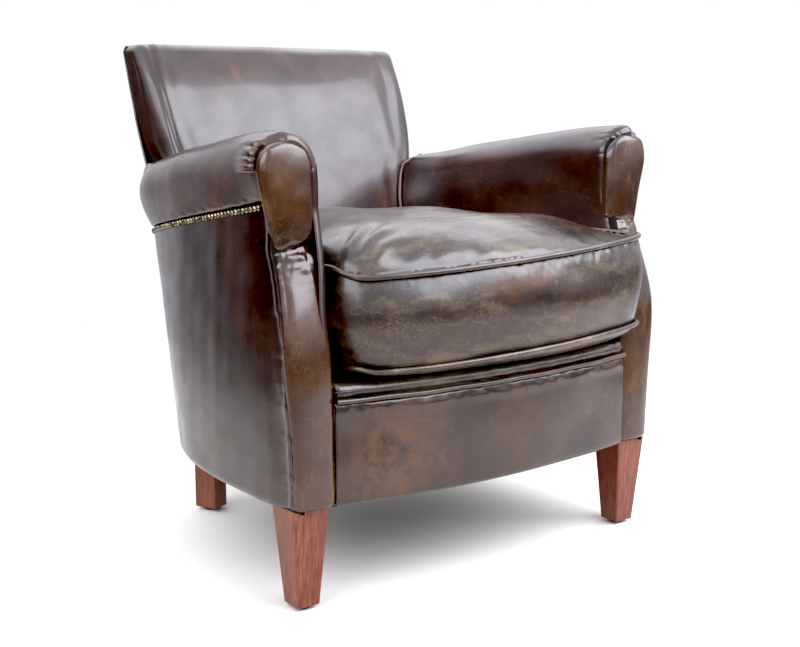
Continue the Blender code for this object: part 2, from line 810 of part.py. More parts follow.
def cushion_welt(name, seam, lift):
    """Piping cord in the groove along one of the cushion's seams, lift up or down from it."""
    radius = 0.0038
    nest = 0.003 - (radius + GAP) / math.sqrt(2)
    points = []
    for x, y in cushion_edge():
        out = (Vector((x, y)) - CUSHION_MIDDLE).normalized()
        spot = Vector((x, y)) - out * (nest - 0.0007)
        points.append((spot.x, spot.y, seam(x, y) - lift * nest))
    tube(name, points, radius, "piping", closed=True)


# ---- legs -------------------------------------------------------------------------------------
def front_leg(side, sign):
    """Tapered square leg, hung under the arm post."""
    bm = bmesh.new()
    bmesh.ops.create_cone(bm, cap_ends=True, segments=4, radius1=0.017 * math.sqrt(2),
                          radius2=0.0273 * math.sqrt(2), depth=BASE_Z - GLIDE_H - GAP,
                          matrix=Matrix.Rotation(math.pi / 4, 4, "Z"))
    mesh = bpy.data.meshes.new("leg_front_" + side)
    bm.to_mesh(mesh)
    bm.free()
    leg = add_object("leg_front_" + side, mesh, "mahogany")
    leg.location = (sign * LEG_FRONT[0], LEG_FRONT[1], (BASE_Z + GLIDE_H + GAP) / 2)
    soften(leg, 0.0015, 1)
    cut(leg, bolt_hole("leg_front_hole_" + side, sign, FRONT_BOLT, BASE_Z - 0.030, BASE_Z + 0.010))


def rear_leg(side, sign):
    """Straight leg turned to the curve of the back."""
    half_height = (BASE_Z - GLIDE_H - GAP) / 2
    leg = box("leg_rear_" + side, (-0.0155, -0.0203, -half_height), (0.0155, 0.0203, half_height), "mahogany")
    leg.location = (sign * LEG_REAR[0], LEG_REAR[1], (BASE_Z + GLIDE_H + GAP) / 2)
    leg.rotation_euler = (0, 0, -sign * LEG_REAR_TURN)
    soften(leg, 0.0015, 1)
    cut(leg, bolt_hole("leg_rear_hole_" + side, sign, REAR_BOLT, BASE_Z - 0.030, BASE_Z + 0.010))


def legs():
    for side, sign in SIDES.items():
        front_leg(side, sign)
        rear_leg(side, sign)
        for end, leg, bolt in (("front", LEG_FRONT, FRONT_BOLT), ("rear", LEG_REAR, REAR_BOLT)):
            spot = (sign * bolt[0], bolt[1])
            name = "%s_%s" % (end, side)
            cylinder("leg_bolt_" + name, spot, 0.004, BASE_Z - 0.028, BASE_Z + 0.040, "steel", sides=12)
            foot = (sign * leg[0], leg[1])
            cylinder("glide_" + name, foot, 0.011, 0.0, GLIDE_H, "plastic")


def covers():
    for side, sign in SIDES.items():
        side_panel(side, sign)
        arm_cover(side, sign)
        facing_head(side, sign)
        facing_post(side, sign)
        back_piping(side, sign)
        nail_strip(side, sign)
    outside_back()
    inside_back()
    front_panel()
    front_welt()
    front_lip()


frame()
suspension()
covers()
cushion()
cushion_welt("cushion_welt_bottom", lambda x, y: low_seam(x, y) - 0.006, -1)
cushion_welt("cushion_welt_top", top_seam, 1)
legs()
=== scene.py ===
# %% [markdown]
# # A worn leather club chair
# The chair is a hardwood frame under stretched leather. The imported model, loaded first, holds
# its construction: frame, springs, deck, legs, and a plain solid for each padded piece. Each
# padded piece is rebuilt here as finely meshed leather, in the same place and size.

# %% Load the frame
import json
import math

import bpy
import numpy as np
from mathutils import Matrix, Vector


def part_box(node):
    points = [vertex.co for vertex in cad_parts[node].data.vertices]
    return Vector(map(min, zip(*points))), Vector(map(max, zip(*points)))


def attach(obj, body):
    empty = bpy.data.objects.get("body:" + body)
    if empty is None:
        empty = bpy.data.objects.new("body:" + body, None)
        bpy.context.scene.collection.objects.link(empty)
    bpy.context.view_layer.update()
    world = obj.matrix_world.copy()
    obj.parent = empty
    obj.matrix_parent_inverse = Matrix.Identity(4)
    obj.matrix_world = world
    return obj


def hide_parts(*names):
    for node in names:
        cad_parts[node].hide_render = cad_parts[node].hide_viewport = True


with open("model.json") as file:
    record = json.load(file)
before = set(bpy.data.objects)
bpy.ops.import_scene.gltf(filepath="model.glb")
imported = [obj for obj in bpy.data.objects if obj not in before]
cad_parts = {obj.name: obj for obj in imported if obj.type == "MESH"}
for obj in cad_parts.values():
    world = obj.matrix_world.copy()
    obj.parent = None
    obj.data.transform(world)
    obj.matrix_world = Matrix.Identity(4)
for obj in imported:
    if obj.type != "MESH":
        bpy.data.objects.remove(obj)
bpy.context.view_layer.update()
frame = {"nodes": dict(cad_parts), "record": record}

print("frame:", len(frame["nodes"]), "nodes")

# %% [markdown]
# ## Colours
# Colours are written as the sRGB hex values that a paint chart gives. Blender's shaders
# work with linear light, so one function turns them.


# %% Colours
def linear(hex_color):
    parts = [int(hex_color[i:i + 2], 16) / 255 for i in (1, 3, 5)]
    return tuple(c / 12.92 if c <= 0.04045 else ((c + 0.055) / 1.055) ** 2.4 for c in parts) + (1.0,)


print("white is", linear("#ffffff"))

# %% [markdown]
# ## Camera
# The view is that of someone standing a little to the chair's side, looking slightly down.
# A short tone curve lifts nothing and only sets how deep the blacks go, because dark waxed
# leather would otherwise look grey.

# %% Camera
CAMERA_TILT, CAMERA_TURN = 10.12, 35.80
camera = bpy.data.objects.new("camera", bpy.data.cameras.new("camera"))
bpy.context.scene.collection.objects.link(camera)
camera.data.sensor_width = 36.0
camera.data.lens = 55.56
camera.location = (-1.081, -1.569, 0.650)
camera.rotation_euler = (math.radians(90 - CAMERA_TILT), 0.0, math.radians(-CAMERA_TURN))
bpy.context.scene.camera = camera
view = bpy.context.scene.view_settings
view.view_transform = "Standard"
view.use_curve_mapping = True
view.curve_mapping.black_level = (0.014, 0.017, 0.018)
view.curve_mapping.update()
print("camera: lens", camera.data.lens)

# %% [markdown]
# ## Nodes
# A material or a world is a tree of small nodes. One function adds a node, sets it and links
# it, so that each finish below reads as a list of what it is made of.


# %% Node helper
SOFT = {"interpolation_type": "SMOOTHSTEP"}


def feed(tree, node, inputs):
    """Gives a node's inputs a value, a hex colour, or another node or output to link from."""
    for key, value in inputs.items() if isinstance(inputs, dict) else enumerate(inputs):
        if isinstance(value, bpy.types.Node):
            value = next(output for output in value.outputs if output.enabled)
        if isinstance(value, bpy.types.NodeSocket):
            tree.links.new(value, node.inputs[key])
        else:
            node.inputs[key].default_value = linear(value) if isinstance(value, str) else value


def add(tree, kind, inputs=(), **settings):
    """Adds one shader node. inputs go by their names or numbers, or in their order."""
    made = tree.nodes.new("ShaderNode" + kind)
    for key, value in settings.items():
        setattr(made, key, value)
    feed(tree, made, inputs)
    return made


def new_finish(name):
    """A new material, with its node tree and its main shader."""
    made = bpy.data.materials.new(name)
    made.use_nodes = True
    return made, made.node_tree, made.node_tree.nodes["Principled BSDF"]


# %% [markdown]
# ## Light and floor
# Leather this glossy is seen mostly by what it mirrors: a big soft box at the front right, a
# small window at the left, pale walls and ceiling, and a dark stretch low on the left, where
# the outside arm looks. The room could be built of real walls. A graded world gives the same
# reflections without them, and its shades are easier to place.


# %% Soft boxes
def softbox(name, spot, target, size, power, tint):
    """A rectangular diffused light that faces target."""
    lamp = bpy.data.lights.new(name, "AREA")
    lamp.shape = "RECTANGLE"
    lamp.size, lamp.size_y = size
    lamp.energy = power
    lamp.color = linear(tint)[:3]
    box = bpy.data.objects.new(name, lamp)
    bpy.context.scene.collection.objects.link(box)
    box.location = spot
    box.rotation_euler = (Vector(target) - Vector(spot)).to_track_quat("-Z", "Y").to_euler()
    print("light:", name, power, "W")


softbox("front right box", (0.90, -1.58, 1.80), (0.0, 0.05, 0.50), (2.35, 1.7), 102, "#f1f4ff")
softbox("left window", (-1.95, -0.46, 1.40), (-0.2, 0.2, 0.62), (2.0, 0.85), 32, "#f6f8ff")


# %% Room
def studio_world():
    """Pale walls and ceiling over a dim floor, dark low on the left. The eye sees plain white."""
    world = bpy.data.worlds.new("studio")
    bpy.context.scene.world = world
    world.use_nodes = True
    tree = world.node_tree
    way = add(tree, "TexCoord").outputs["Generated"]
    parts = add(tree, "SeparateXYZ", [way])
    depth, height = parts.outputs["Y"], parts.outputs["Z"]
    to_left = add(tree, "VectorMath", (way, (-0.80, 0.60, 0.0)), operation="DOT_PRODUCT")
    dark_left = add(tree, "MapRange", (to_left, 0.80, 0.95, 1.0, 0.02), **SOFT)
    wall = add(tree, "MapRange", (depth, 0.3, -0.6, 1.0, 1.7), **SOFT)
    wall = add(tree, "Math", (wall, dark_left), operation="MULTIPLY")
    low = add(tree, "MapRange", (depth, 0.3, -0.2, 0.85, 0.12), **SOFT)
    dim_floor = add(tree, "MapRange", (height, -0.08, 0.06, low, 1.0), **SOFT)
    wall = add(tree, "Math", (wall, dim_floor), operation="MULTIPLY")
    ceiling = add(tree, "MapRange", (depth, 0.7, -0.35, 3.4, 2.2), **SOFT)
    up = add(tree, "MapRange", (height, 0.20, 0.70), **SOFT)
    light = add(tree, "Mix", {0: up, 2: wall, 3: ceiling})
    seen = add(tree, "LightPath").outputs["Is Camera Ray"]
    light = add(tree, "Mix", {0: seen, 2: light, 3: 1.0})
    tint = add(tree, "Mix", {0: seen, 6: "#f4f6ff", 7: "#ffffff"}, data_type="RGBA")
    feed(tree, tree.nodes["Background"], {"Color": tint, "Strength": light})
    print("room:", len(tree.nodes), "nodes")


studio_world()


# %% Floor
def pale_floor():
    """White floor that fades out with distance, so that it has no edge against the backdrop."""
    made, tree, _ = new_finish("matte white studio floor")
    place = add(tree, "NewGeometry").outputs["Position"]
    away = add(tree, "VectorMath", (place, (0.25, -0.05, 0.0)), operation="DISTANCE")
    fade = add(tree, "MapRange", (away, 1.0, 1.9), **SOFT)
    paper = add(tree, "BsdfDiffuse", {"Color": "#cfccc6"})
    both = add(tree, "MixShader", (fade, paper, add(tree, "BsdfTransparent")))
    feed(tree, tree.nodes["Material Output"], {"Surface": both})
    bpy.ops.mesh.primitive_circle_add(vertices=96, radius=3.0, fill_type="NGON", location=(0, 0, -0.0004))
    floor = bpy.context.object
    floor.name = "studio_floor"
    floor.data.materials.append(made)
    print("floor: fades out from 1.0 to 1.9 m")


pale_floor()

# %% [markdown]
# ## Sheets of leather
# A cover on a chair is one flat hide, cut and pulled over padding. It could be simulated as
# cloth. A hide drawn this tight has few free folds, though, so each is made here as a grid
# of points that follows the padding. Its edges are then rolled under into the seams, its
# folds are pushed in or out along the surface, and it is given a hide's thickness.


# %% Shaping helpers
def steps(count, tight=0.8):
    """Positions from 0 to 1 for count cells, closer together near both ends."""
    t = np.linspace(0.0, 1.0, count + 1)
    return t - tight * np.sin(2 * np.pi * t) / (2 * np.pi)


def mix(a, b, t):
    return a + (b - a) * t


def ease(t):
    """Smooth step from 0 to 1 that stays flat outside that range."""
    t = np.clip(t, 0.0, 1.0)
    return t * t * (3 - 2 * t)


def bump_at(x, middle, width):
    """A soft hump of height 1 around middle."""
    return np.exp(-((x - middle) / width) ** 2)


def curve(table, x):
    """Smooth value through (position, value) pairs, for whole arrays at once."""
    at, value = np.array(table, float).T
    x = np.clip(x, at[0], at[-1])
    i = np.clip(np.searchsorted(at, x) - 1, 0, len(at) - 2)
    slope = np.gradient(value, at)
    span = at[i + 1] - at[i]
    t = (x - at[i]) / span
    bend = span * (t * (1 - t) ** 2 * slope[i] - t * t * (1 - t) * slope[i + 1])
    return mix(value[i], value[i + 1], t * t * (3 - 2 * t)) + bend


def ripples(points, size, seed, stretch=(1.0, 1.0, 1.0), waves=16):
    """Smooth random height, mostly between -1 and 1, from crossing waves of about that size."""
    rng = np.random.default_rng(seed)
    total = np.zeros(points.shape[:-1])
    for _ in range(waves):
        way = rng.normal(size=3)
        way *= 2 * np.pi / (np.linalg.norm(way) * size * rng.uniform(0.7, 1.5))
        total += np.sin(points @ (way / np.array(stretch)) + rng.uniform(0, 2 * np.pi))
    return total / math.sqrt(waves)


# %% Surface helpers
def normals(points):
    """Directions out of a sheet at each of its points."""
    out = np.cross(np.gradient(points, axis=0), np.gradient(points, axis=1))
    return out / np.linalg.norm(out, axis=-1, keepdims=True).clip(1e-9)


def edge_distances(points):
    """How far each point lies from the four edges of its sheet, along the sheet."""
    found = []
    for axis in (0, 1):
        length = np.linalg.norm(np.diff(points, axis=axis), axis=-1).cumsum(axis)
        pad = ((1, 0), (0, 0)) if axis == 0 else ((0, 0), (1, 0))
        length = np.pad(length, pad)
        found += [length, np.take(length, [-1], axis) - length]
    return found


def roll_under(points, widths, depths):
    """How far each point sinks where the four edges turn under, as quarter ellipses."""
    shares = []
    for distance, width in zip(edge_distances(points), widths):
        shares.append(np.clip(1 - distance / np.maximum(width, 1e-9), 0, 1) * np.any(width))
    along = np.maximum(shares[0], shares[1])
    across = np.maximum(shares[2], shares[3])
    reach = np.minimum(1.0, np.hypot(along, across))
    weight = np.array([share ** 2 for share in shares]) + 1e-9
    depth = sum(each * part for each, part in zip(depths, weight)) / weight.sum(0)
    return depth * (1 - np.sqrt(1 - reach ** 2))


# %% Mesh helpers
def new_object(name, vertices, faces, material, thickness=0.0):
    mesh = bpy.data.meshes.new(name)
    mesh.from_pydata(vertices.tolist(), [], faces)
    mesh.shade_smooth()
    mesh.materials.append(material)
    made = bpy.data.objects.new(name, mesh)
    bpy.context.scene.collection.objects.link(made)
    if thickness:
        hide = made.modifiers.new("hide thickness", "SOLIDIFY")
        hide.thickness = thickness
        hide.offset = -1.0
    return made


def grid_faces(rows, columns, flipped=False):
    """Quads of a grid of points."""
    index = np.arange(rows * columns).reshape(rows, columns)
    corners = [index[:-1, :-1], index[1:, :-1], index[1:, 1:], index[:-1, 1:]]
    quads = np.stack(corners, -1).reshape(-1, 4)
    return (quads[:, ::-1] if flipped else quads).tolist()


def sheet(name, points, material, widths=(0, 0, 0, 0), depths=(0, 0, 0, 0), detail=0.0, side=1, hide=0.003):
    """Makes a panel from a grid of points whose normals point out. side -1 mirrors it."""
    out = normals(points)
    lift = detail - roll_under(points, widths, depths)
    moved = points + out * np.asarray(lift)[..., None]
    flat = moved.reshape(-1, 3) * (side, 1, 1)
    faces = grid_faces(*points.shape[:2], flipped=side < 0)
    return new_object(name, flat, faces, material, hide)


def settle(piece, slot, *nodes, fill=None):
    """Hangs a finished piece on the root body and hides the CAD nodes it stands for. slot and fill are not
    used.
    """
    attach(piece, "root")
    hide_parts(*nodes)
    print(piece.name, len(piece.data.vertices) if piece.type == "MESH" else "cord")


# %% [markdown]
# ## Padded blocks
# Slabs and pads are closed forms. A cube with a bevel and subdivisions would do, but its
# points bunch up at the corners. So each pad starts as a block whose rounded edges are worked
# out, and a function of the place in the block then carries its points to the chair's shape.


# %% Block helpers
def block_axis(length, radius, cells, turn=6):
    """Positions along one edge of a block, closer together in the rounded stretch at each end."""
    arc = radius - radius * np.tan(np.linspace(np.pi / 4, 0, turn + 1))
    flat = mix(radius, length - radius, steps(cells, 0.5))
    return np.concatenate([arc[:-1], flat, length - arc[::-1][1:]])


def rounded_block(size, radii, cells, turn):
    """Points and outward quads of a closed block from 0 to size with rounded edges."""
    axes = [block_axis(*item, turn) for item in zip(size, radii, cells)]
    counts = [len(axis) for axis in axes]
    quads = []
    for axis in range(3):
        one, two = (axis + 1) % 3, (axis + 2) % 3
        i, j = np.meshgrid(np.arange(counts[one] - 1), np.arange(counts[two] - 1), indexing="ij")
        for end in (0, counts[axis] - 1):
            corner = np.zeros((4, i.size, 3), int)
            corner[..., axis] = end
            for k, (a, b) in enumerate(((0, 0), (1, 0), (1, 1), (0, 1))):
                corner[k, :, one] = (i + a).ravel()
                corner[k, :, two] = (j + b).ravel()
            quads.append(corner if end else corner[::-1])
    quads = np.concatenate(quads, 1).transpose(1, 0, 2)
    code = (quads[..., 0] * counts[1] + quads[..., 1]) * counts[2] + quads[..., 2]
    used, faces = np.unique(code, return_inverse=True)
    place = np.stack([used // (counts[1] * counts[2]), used // counts[2] % counts[1], used % counts[2]], 1)
    points = np.stack([axes[k][place[:, k]] for k in range(3)], 1)
    radii = np.array(radii, float)
    inner = np.clip(points, radii, np.array(size) - radii)
    way = (points - inner) / radii
    way /= np.linalg.norm(way, axis=1, keepdims=True)
    return inner + way * radii, faces.reshape(-1, 4)


def vertex_normals(mesh):
    out = np.zeros(len(mesh.vertices) * 3)
    mesh.vertices.foreach_get("normal", out)
    return out.reshape(-1, 3)


def push(piece, amount):
    """Moves each point of a piece along its normal by amount."""
    mesh = piece.data
    place = np.zeros(len(mesh.vertices) * 3)
    mesh.vertices.foreach_get("co", place)
    place = place.reshape(-1, 3) + vertex_normals(mesh) * np.asarray(amount)[:, None]
    mesh.vertices.foreach_set("co", place.ravel())
    mesh.update()
    return piece


def points_of(piece):
    place = np.zeros(len(piece.data.vertices) * 3)
    piece.data.vertices.foreach_get("co", place)
    return place.reshape(-1, 3)


def block(name, size, radii, cells, shape, material, side=1, detail=None, turn=6):
    """A rounded block carried to the chair by shape(u, v, w). detail(points, u, v, w) is a push."""
    points, faces = rounded_block(size, radii, cells, turn)
    u, v, w = (points / np.array(size)).T
    placed = np.stack(shape(u, v, w), 1) * (side, 1, 1)
    if side < 0:
        faces = faces[:, ::-1]
    made = new_object(name, placed, faces.tolist(), material)
    if detail:
        push(made, detail(placed * (side, 1, 1), u, v, w))
    return made


# %% [markdown]
# ## The plan of the chair
# From above, the outside of the chair is a barrel: the sides swell a little, then turn in to
# the rear corners, and the back closes the curve. Covers drawn one by one would not meet at
# their seams, so every cover reads the same plan. The functions below give it at any height,
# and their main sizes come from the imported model's own boxes.


# %% Plan
post_low, post_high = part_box("facing_post_right")
head_low, head_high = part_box("facing_head_right")
BASE_Z = post_low.z
TUCK_Z = post_high.z
FRONT_Y = post_low.y
FACING_IN, FACING_OUT = post_low.x, post_high.x
HEAD_Y, HEAD_OUT, HEAD_TOP = head_low.y, head_high.x, head_high.z
TOP_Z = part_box("inside_back")[1].z
DECK_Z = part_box("seat_deck")[1].z
SLOPE_Z = 0.357  # where the facings begin to lean back
ROLL_RZ = 0.046  # half the height of the arm roll
SIDE_FRONT_X, SIDE_WIDEST_X = 0.318, 0.329
ARM_END_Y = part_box("arm_cover_right")[1].y


# %% Back
def corner_y(z):
    """Depth of the rear corners, which rake back with the frame."""
    return curve([(0.14, 0.172), (0.40, 0.218), (0.50, 0.250), (0.60, 0.296), (TOP_Z, 0.346)], z)


def rear_y(z):
    """Rearmost line of the outside back."""
    return curve([(0.14, 0.280), (0.50, 0.310), (TOP_Z, 0.3588)], z)


def corner_x(z):
    """Half width at the rear corners."""
    return curve([(0.14, 0.243), (0.50, 0.2505), (0.60, 0.2535), (TOP_Z, 0.2535)], z)


def back_y(x, z):
    """Outer surface of the outside back."""
    return mix(rear_y(z), corner_y(z), np.minimum(1.0, np.abs(x) / corner_x(z)) ** 2)


def face_y(z):
    """Front surface of the inside back."""
    return curve([(0.25, 0.145), (0.62, 0.2375), (0.68, 0.261), (TOP_Z, 0.298)], z)


def back_half_width(z):
    """Half width of the inside back, which widens above the arms."""
    return curve([(0.25, 0.2085), (0.36, 0.2085), (0.485, 0.2095), (0.565, 0.2365), (TOP_Z, 0.2500)], z)


# %% Facings
def front_y(z, side=-1):
    """Front of the facings: upright below, then leaning back softly to the tuck. The right arm
    has been pushed back a little by use, so its facing leans further."""
    bend = 0.030
    past = z - SLOPE_Z
    soft = past + np.sqrt(past ** 2 + bend ** 2)
    full = TUCK_Z - SLOPE_Z + math.hypot(TUCK_Z - SLOPE_Z, bend)
    lean = 0.006 * ease((z - 0.38) / 0.09) * (side > 0)
    return FRONT_Y + (HEAD_Y - FRONT_Y) * np.minimum(soft / full, 1.0) + lean


def facing_out(z):
    """Outer edge of the lower facing, drawn in a little at the tuck and towards the leg."""
    return FACING_OUT - 0.004 * ease((z - SLOPE_Z) / 0.08) - 0.009 * ease((0.36 - z) / 0.20)


def facing_in(z):
    """Inner edge of the lower facing, which covers the ends of the front rail."""
    return FACING_IN + 0.001 - 0.007 * ease((0.38 - z) / 0.10) - 0.001 * ease((z - 0.38) / 0.05)


# %% Sides and arms
def side_x(y, z):
    """Half width of the outside arm at depth y and height z."""
    t = (z - BASE_Z) / 0.36
    widest = mix(-0.13, -0.10, t)
    power = mix(2.45, 2.6, t)
    width = SIDE_WIDEST_X + 0.005 * np.sin(np.pi * np.clip(t, 0, 1))
    fore = np.clip((widest - y) / (widest - FRONT_Y), 0, None)
    reach = (corner_y(z) - widest) / (1 - (corner_x(z) / width) ** power) ** (1 / power)
    aft = np.clip((y - widest) / reach, 0, 0.999)
    before = width - (width - SIDE_FRONT_X) * fore ** 2.2
    return np.where(y < widest, before, width * (1 - aft ** power) ** (1 / power))


def arm_t(y):
    """Share of the way along the arm, from its front to its rear end."""
    return np.clip((y + 0.242) / 0.488, 0.0, 1.02)


def arm_in(y):
    """Inner face of the arm: the seat is narrower at the back."""
    t = arm_t(y)
    return FACING_IN - 0.040 * t - 0.020 * t ** 5


def rear_swell(y, z):
    """How far the padding of the arm is squeezed inwards where the back presses on it."""
    return 0.020 * ease((y - 0.09) / 0.10) * (1 - ease((z - 0.47) / 0.10))


def arm_out(y):
    """Outermost line of the arm roll."""
    t = arm_t(y)
    return HEAD_OUT - 0.022 * t - 0.057 * t ** 8


def ridge_z(y):
    """Top of the arm roll, nearly level at the front and falling to the rear."""
    return curve([(-0.242, 0.6175), (-0.164, 0.613), (-0.087, 0.604), (-0.01, 0.594), (0.057, 0.584),
                  (0.153, 0.568), (0.244, 0.554)], y)


def nail_z(y):
    """Height of the nail row, which falls to the rear."""
    return 0.519 - 0.14 * (y + 0.2) - 0.010 * arm_t(y)


def bow_y(x):
    """Front of the seat rail, bowed forward in the middle."""
    return FRONT_Y - 0.028 * (1 - (x / FACING_IN) ** 2)


print("plan: half width", round(float(side_x(np.array(-0.1), np.array(0.3))), 3))

# %% [markdown]
# ## Pull-up leather
# The hide is a waxed, drum-dyed cowhide over a red-brown ground. Where it is handled, the
# dark wax rubs off and the warm ground shows; where it is pulled, fine pale creases open.
# The finish is glazed, so it mirrors the room softly. One noise between two browns would give
# a brown surface. Layers for dye, rub-off, pale wear and creases follow how the real hide came
# about, and each can be set cover by cover.


# %% Rub-off
def spotted(tree, place, patch, spots):
    """Amount of wear at named places of the hide, broken up by patch."""
    broken = add(tree, "MapRange", (patch, 0.3, 0.62), **SOFT)
    total = None
    for spot, radius, strength in spots:
        away = add(tree, "VectorMath", (place, spot), operation="DISTANCE")
        near = add(tree, "MapRange", (away, radius, 0.25 * radius, 0.0, strength), **SOFT)
        near = add(tree, "Math", (near, broken), operation="MULTIPLY")
        total = near if total is None else add(tree, "Math", (total, near), operation="MAXIMUM")
    return total


def rub_off(tree, place, along, wear, spots):
    """Wax gone in clouds of 80 mm, broken up at 25 mm, and at the named spots."""
    patch = add(tree, "TexNoise", {"Vector": along, "Scale": 1 / 0.025, "Detail": 6.0, "Roughness": 0.68})
    cloud = add(tree, "TexNoise", {"Vector": along, "Scale": 1 / 0.08, "Detail": 5.0, "Roughness": 0.62})
    rub = add(tree, "MapRange", (cloud, 0.66 - 0.2 * wear, 0.84 - 0.2 * wear, 0.0, wear), **SOFT)
    broken = add(tree, "MapRange", (patch, 0.3, 0.7, 0.4, 1.3), **SOFT)
    rub = add(tree, "Math", (rub, broken), operation="MULTIPLY")
    if spots:
        rub = add(tree, "Math", (rub, spotted(tree, place, patch, spots)), operation="MAXIMUM")
    return rub


# %% Creases
def creases(tree, place, size, width):
    """A net of fine creases about size metres apart, along the edges of warped cells."""
    warp = {"Vector": place, "Scale": 1 / (0.8 * size), "Detail": 4.0, "Roughness": 0.6}
    bend = add(tree, "TexNoise", warp).outputs["Color"]
    spot = add(tree, "VectorMath", (bend, (size, size, size), place), operation="MULTIPLY_ADD")
    net = add(tree, "TexVoronoi", {"Vector": spot, "Scale": 1 / size}, feature="DISTANCE_TO_EDGE")
    return add(tree, "MapRange", (net, width, 0.0), **SOFT)


def crackle_and_creases(tree, place, along, crackle, marks):
    """Crackle: a net of 4 mm cells, in patches. Creases: long cells of 20 to 34 mm that cross."""
    cloud = add(tree, "TexNoise", {"Vector": along, "Scale": 1 / 0.07, "Detail": 4.0, "Roughness": 0.6})
    first, full = 0.68 - 0.25 * crackle, 0.80 - 0.25 * crackle
    where = add(tree, "MapRange", (cloud, first, full, 0.0, 0.20 * crackle), **SOFT)
    lines = add(tree, "Math", (creases(tree, along, 0.0042, 0.10), where), operation="MULTIPLY")
    for turn, size in ((0.45, 0.020), (-0.75, 0.027), (1.6, 0.034)):
        lengthways = {"Vector": place, "Rotation": (0.3, 0.25, turn), "Scale": (1.0, 0.28, 0.5)}
        turned = add(tree, "Mapping", lengthways)
        gone = add(tree, "TexNoise", {"Vector": turned, "Scale": 1 / 0.030, "Detail": 4.0, "Roughness": 0.55})
        gone = add(tree, "MapRange", (gone, 0.46, 0.62, 0.0, 0.26 * marks), **SOFT)
        net = add(tree, "Math", (creases(tree, turned, size, 0.018), gone), operation="MULTIPLY")
        lines = add(tree, "Math", (lines, net), operation="MAXIMUM")
    return lines


# %% Leather
CREASE = "#9a8a76"


def felt_through(tree, place, along, lines, dents):
    """Grain, creases, and the shallow dents of padding felt through the hide. The grain is
    drawn at 1.6 mm, coarser than the real one, which would not show."""
    grain = add(tree, "TexVoronoi", {"Vector": place, "Scale": 620.0}, feature="SMOOTH_F1")
    bumps = add(tree, "Bump", {"Height": grain, "Strength": 0.10, "Distance": 0.0005})
    cuts = {"Height": lines, "Strength": 0.45, "Distance": 0.0005, "Normal": bumps}
    bumps = add(tree, "Bump", cuts, invert=True)
    dent = add(tree, "TexNoise", {"Vector": along, "Scale": 1 / 0.020, "Detail": 3.0, "Roughness": 0.5})
    return add(tree, "Bump", {"Height": dent, "Strength": dents, "Distance": 0.0016, "Normal": bumps})


def pull_up_leather(name, deep, body, rubbed, worn, wear, age, crackle, marks, gloss, dents, glaze=0.12,
                    stretch=(1.0, 1.0, 1.0), spots=()):
    """Waxed leather: dye clouds from deep to body, rubbed to the ground, worn pale by use."""
    made, tree, shader = new_finish(name)
    place = add(tree, "TexCoord").outputs["Object"]
    along = add(tree, "VectorMath", (place, stretch), operation="MULTIPLY")
    # Clouds of dye, about 110 mm across.
    dye = add(tree, "TexNoise", {"Vector": place, "Scale": 1 / 0.11, "Detail": 5.0, "Roughness": 0.62})
    dye = add(tree, "MapRange", (dye, 0.36, 0.66), **SOFT)
    tone = add(tree, "Mix", {0: dye, 6: deep, 7: body}, data_type="RGBA")
    rub = rub_off(tree, place, along, wear, spots)
    tone = add(tree, "Mix", {0: rub, 6: tone, 7: rubbed}, data_type="RGBA")
    # Pale wear, cloudy at 55 mm.
    pale = add(tree, "TexNoise", {"Vector": along, "Scale": 1 / 0.055, "Detail": 7.0, "Roughness": 0.70})
    pale = add(tree, "MapRange", (pale, 0.62 - 0.25 * age, 0.86 - 0.25 * age, 0.0, 0.75), **SOFT)
    tone = add(tree, "Mix", {0: pale, 6: tone, 7: worn}, data_type="RGBA")
    lines = crackle_and_creases(tree, place, along, crackle, marks)
    tone = add(tree, "Mix", {0: lines, 6: tone, 7: CREASE}, data_type="RGBA")
    # The glaze is thinner where it is worn, and hands have left it uneven.
    dull = add(tree, "MapRange", (pale, 0.0, 1.0, gloss, gloss + 0.12), **SOFT)
    hands = add(tree, "TexNoise", {"Vector": place, "Scale": 1 / 0.045, "Detail": 5.0, "Roughness": 0.55})
    hands = add(tree, "MapRange", (hands, 0.35, 0.65, -0.04, 0.06), **SOFT)
    dull = add(tree, "Math", (dull, hands), operation="ADD")
    bumps = felt_through(tree, place, along, lines, dents)
    feed(tree, shader, {"Base Color": tone, "Roughness": dull, "Normal": bumps, "IOR": 1.5,
                        "Coat Weight": 0.30, "Coat Roughness": glaze})
    print("leather:", name)
    return made


# %% The chair's hides
panel_leather = pull_up_leather(
    "glazed pull-up leather, outside panels", "#120604", "#27130b", "#4a2412", "#3a2a1f",
    wear=0.35, age=0.0, crackle=0.0, marks=0.10, gloss=0.28, dents=0.12, stretch=(1.0, 1.0, 0.5))
apron_leather = pull_up_leather(
    "glazed pull-up leather, apron", "#190b06", "#2e1b10", "#5b3a1f", "#4a3826",
    wear=0.40, age=0.1, crackle=0.1, marks=0.15, gloss=0.28, dents=0.12,
    spots=(((-0.19, -0.33, 0.20), 0.10, 0.55), ((0.02, -0.35, 0.22), 0.07, 0.3)))
arm_leather = pull_up_leather(
    "glazed pull-up leather, arms", "#1d0b07", "#351b12", "#553019", "#43301f",
    wear=0.45, age=0.05, crackle=0.0, marks=0.25, gloss=0.30, dents=0.12, glaze=0.20)
back_leather = pull_up_leather(
    "glazed pull-up leather, inside back", "#190b07", "#2b1810", "#55341f", "#46352a",
    wear=0.5, age=0.1, crackle=0.0, marks=0.15, gloss=0.33, dents=0.15, stretch=(1.0, 1.0, 0.6))
facing_leather = pull_up_leather(
    "rubbed pull-up leather, facings", "#231005", "#3b220c", "#5c3a19", "#574527",
    wear=0.8, age=0.25, crackle=0.3, marks=0.3, gloss=0.24, dents=0.12, stretch=(1.4, 1.0, 0.6))
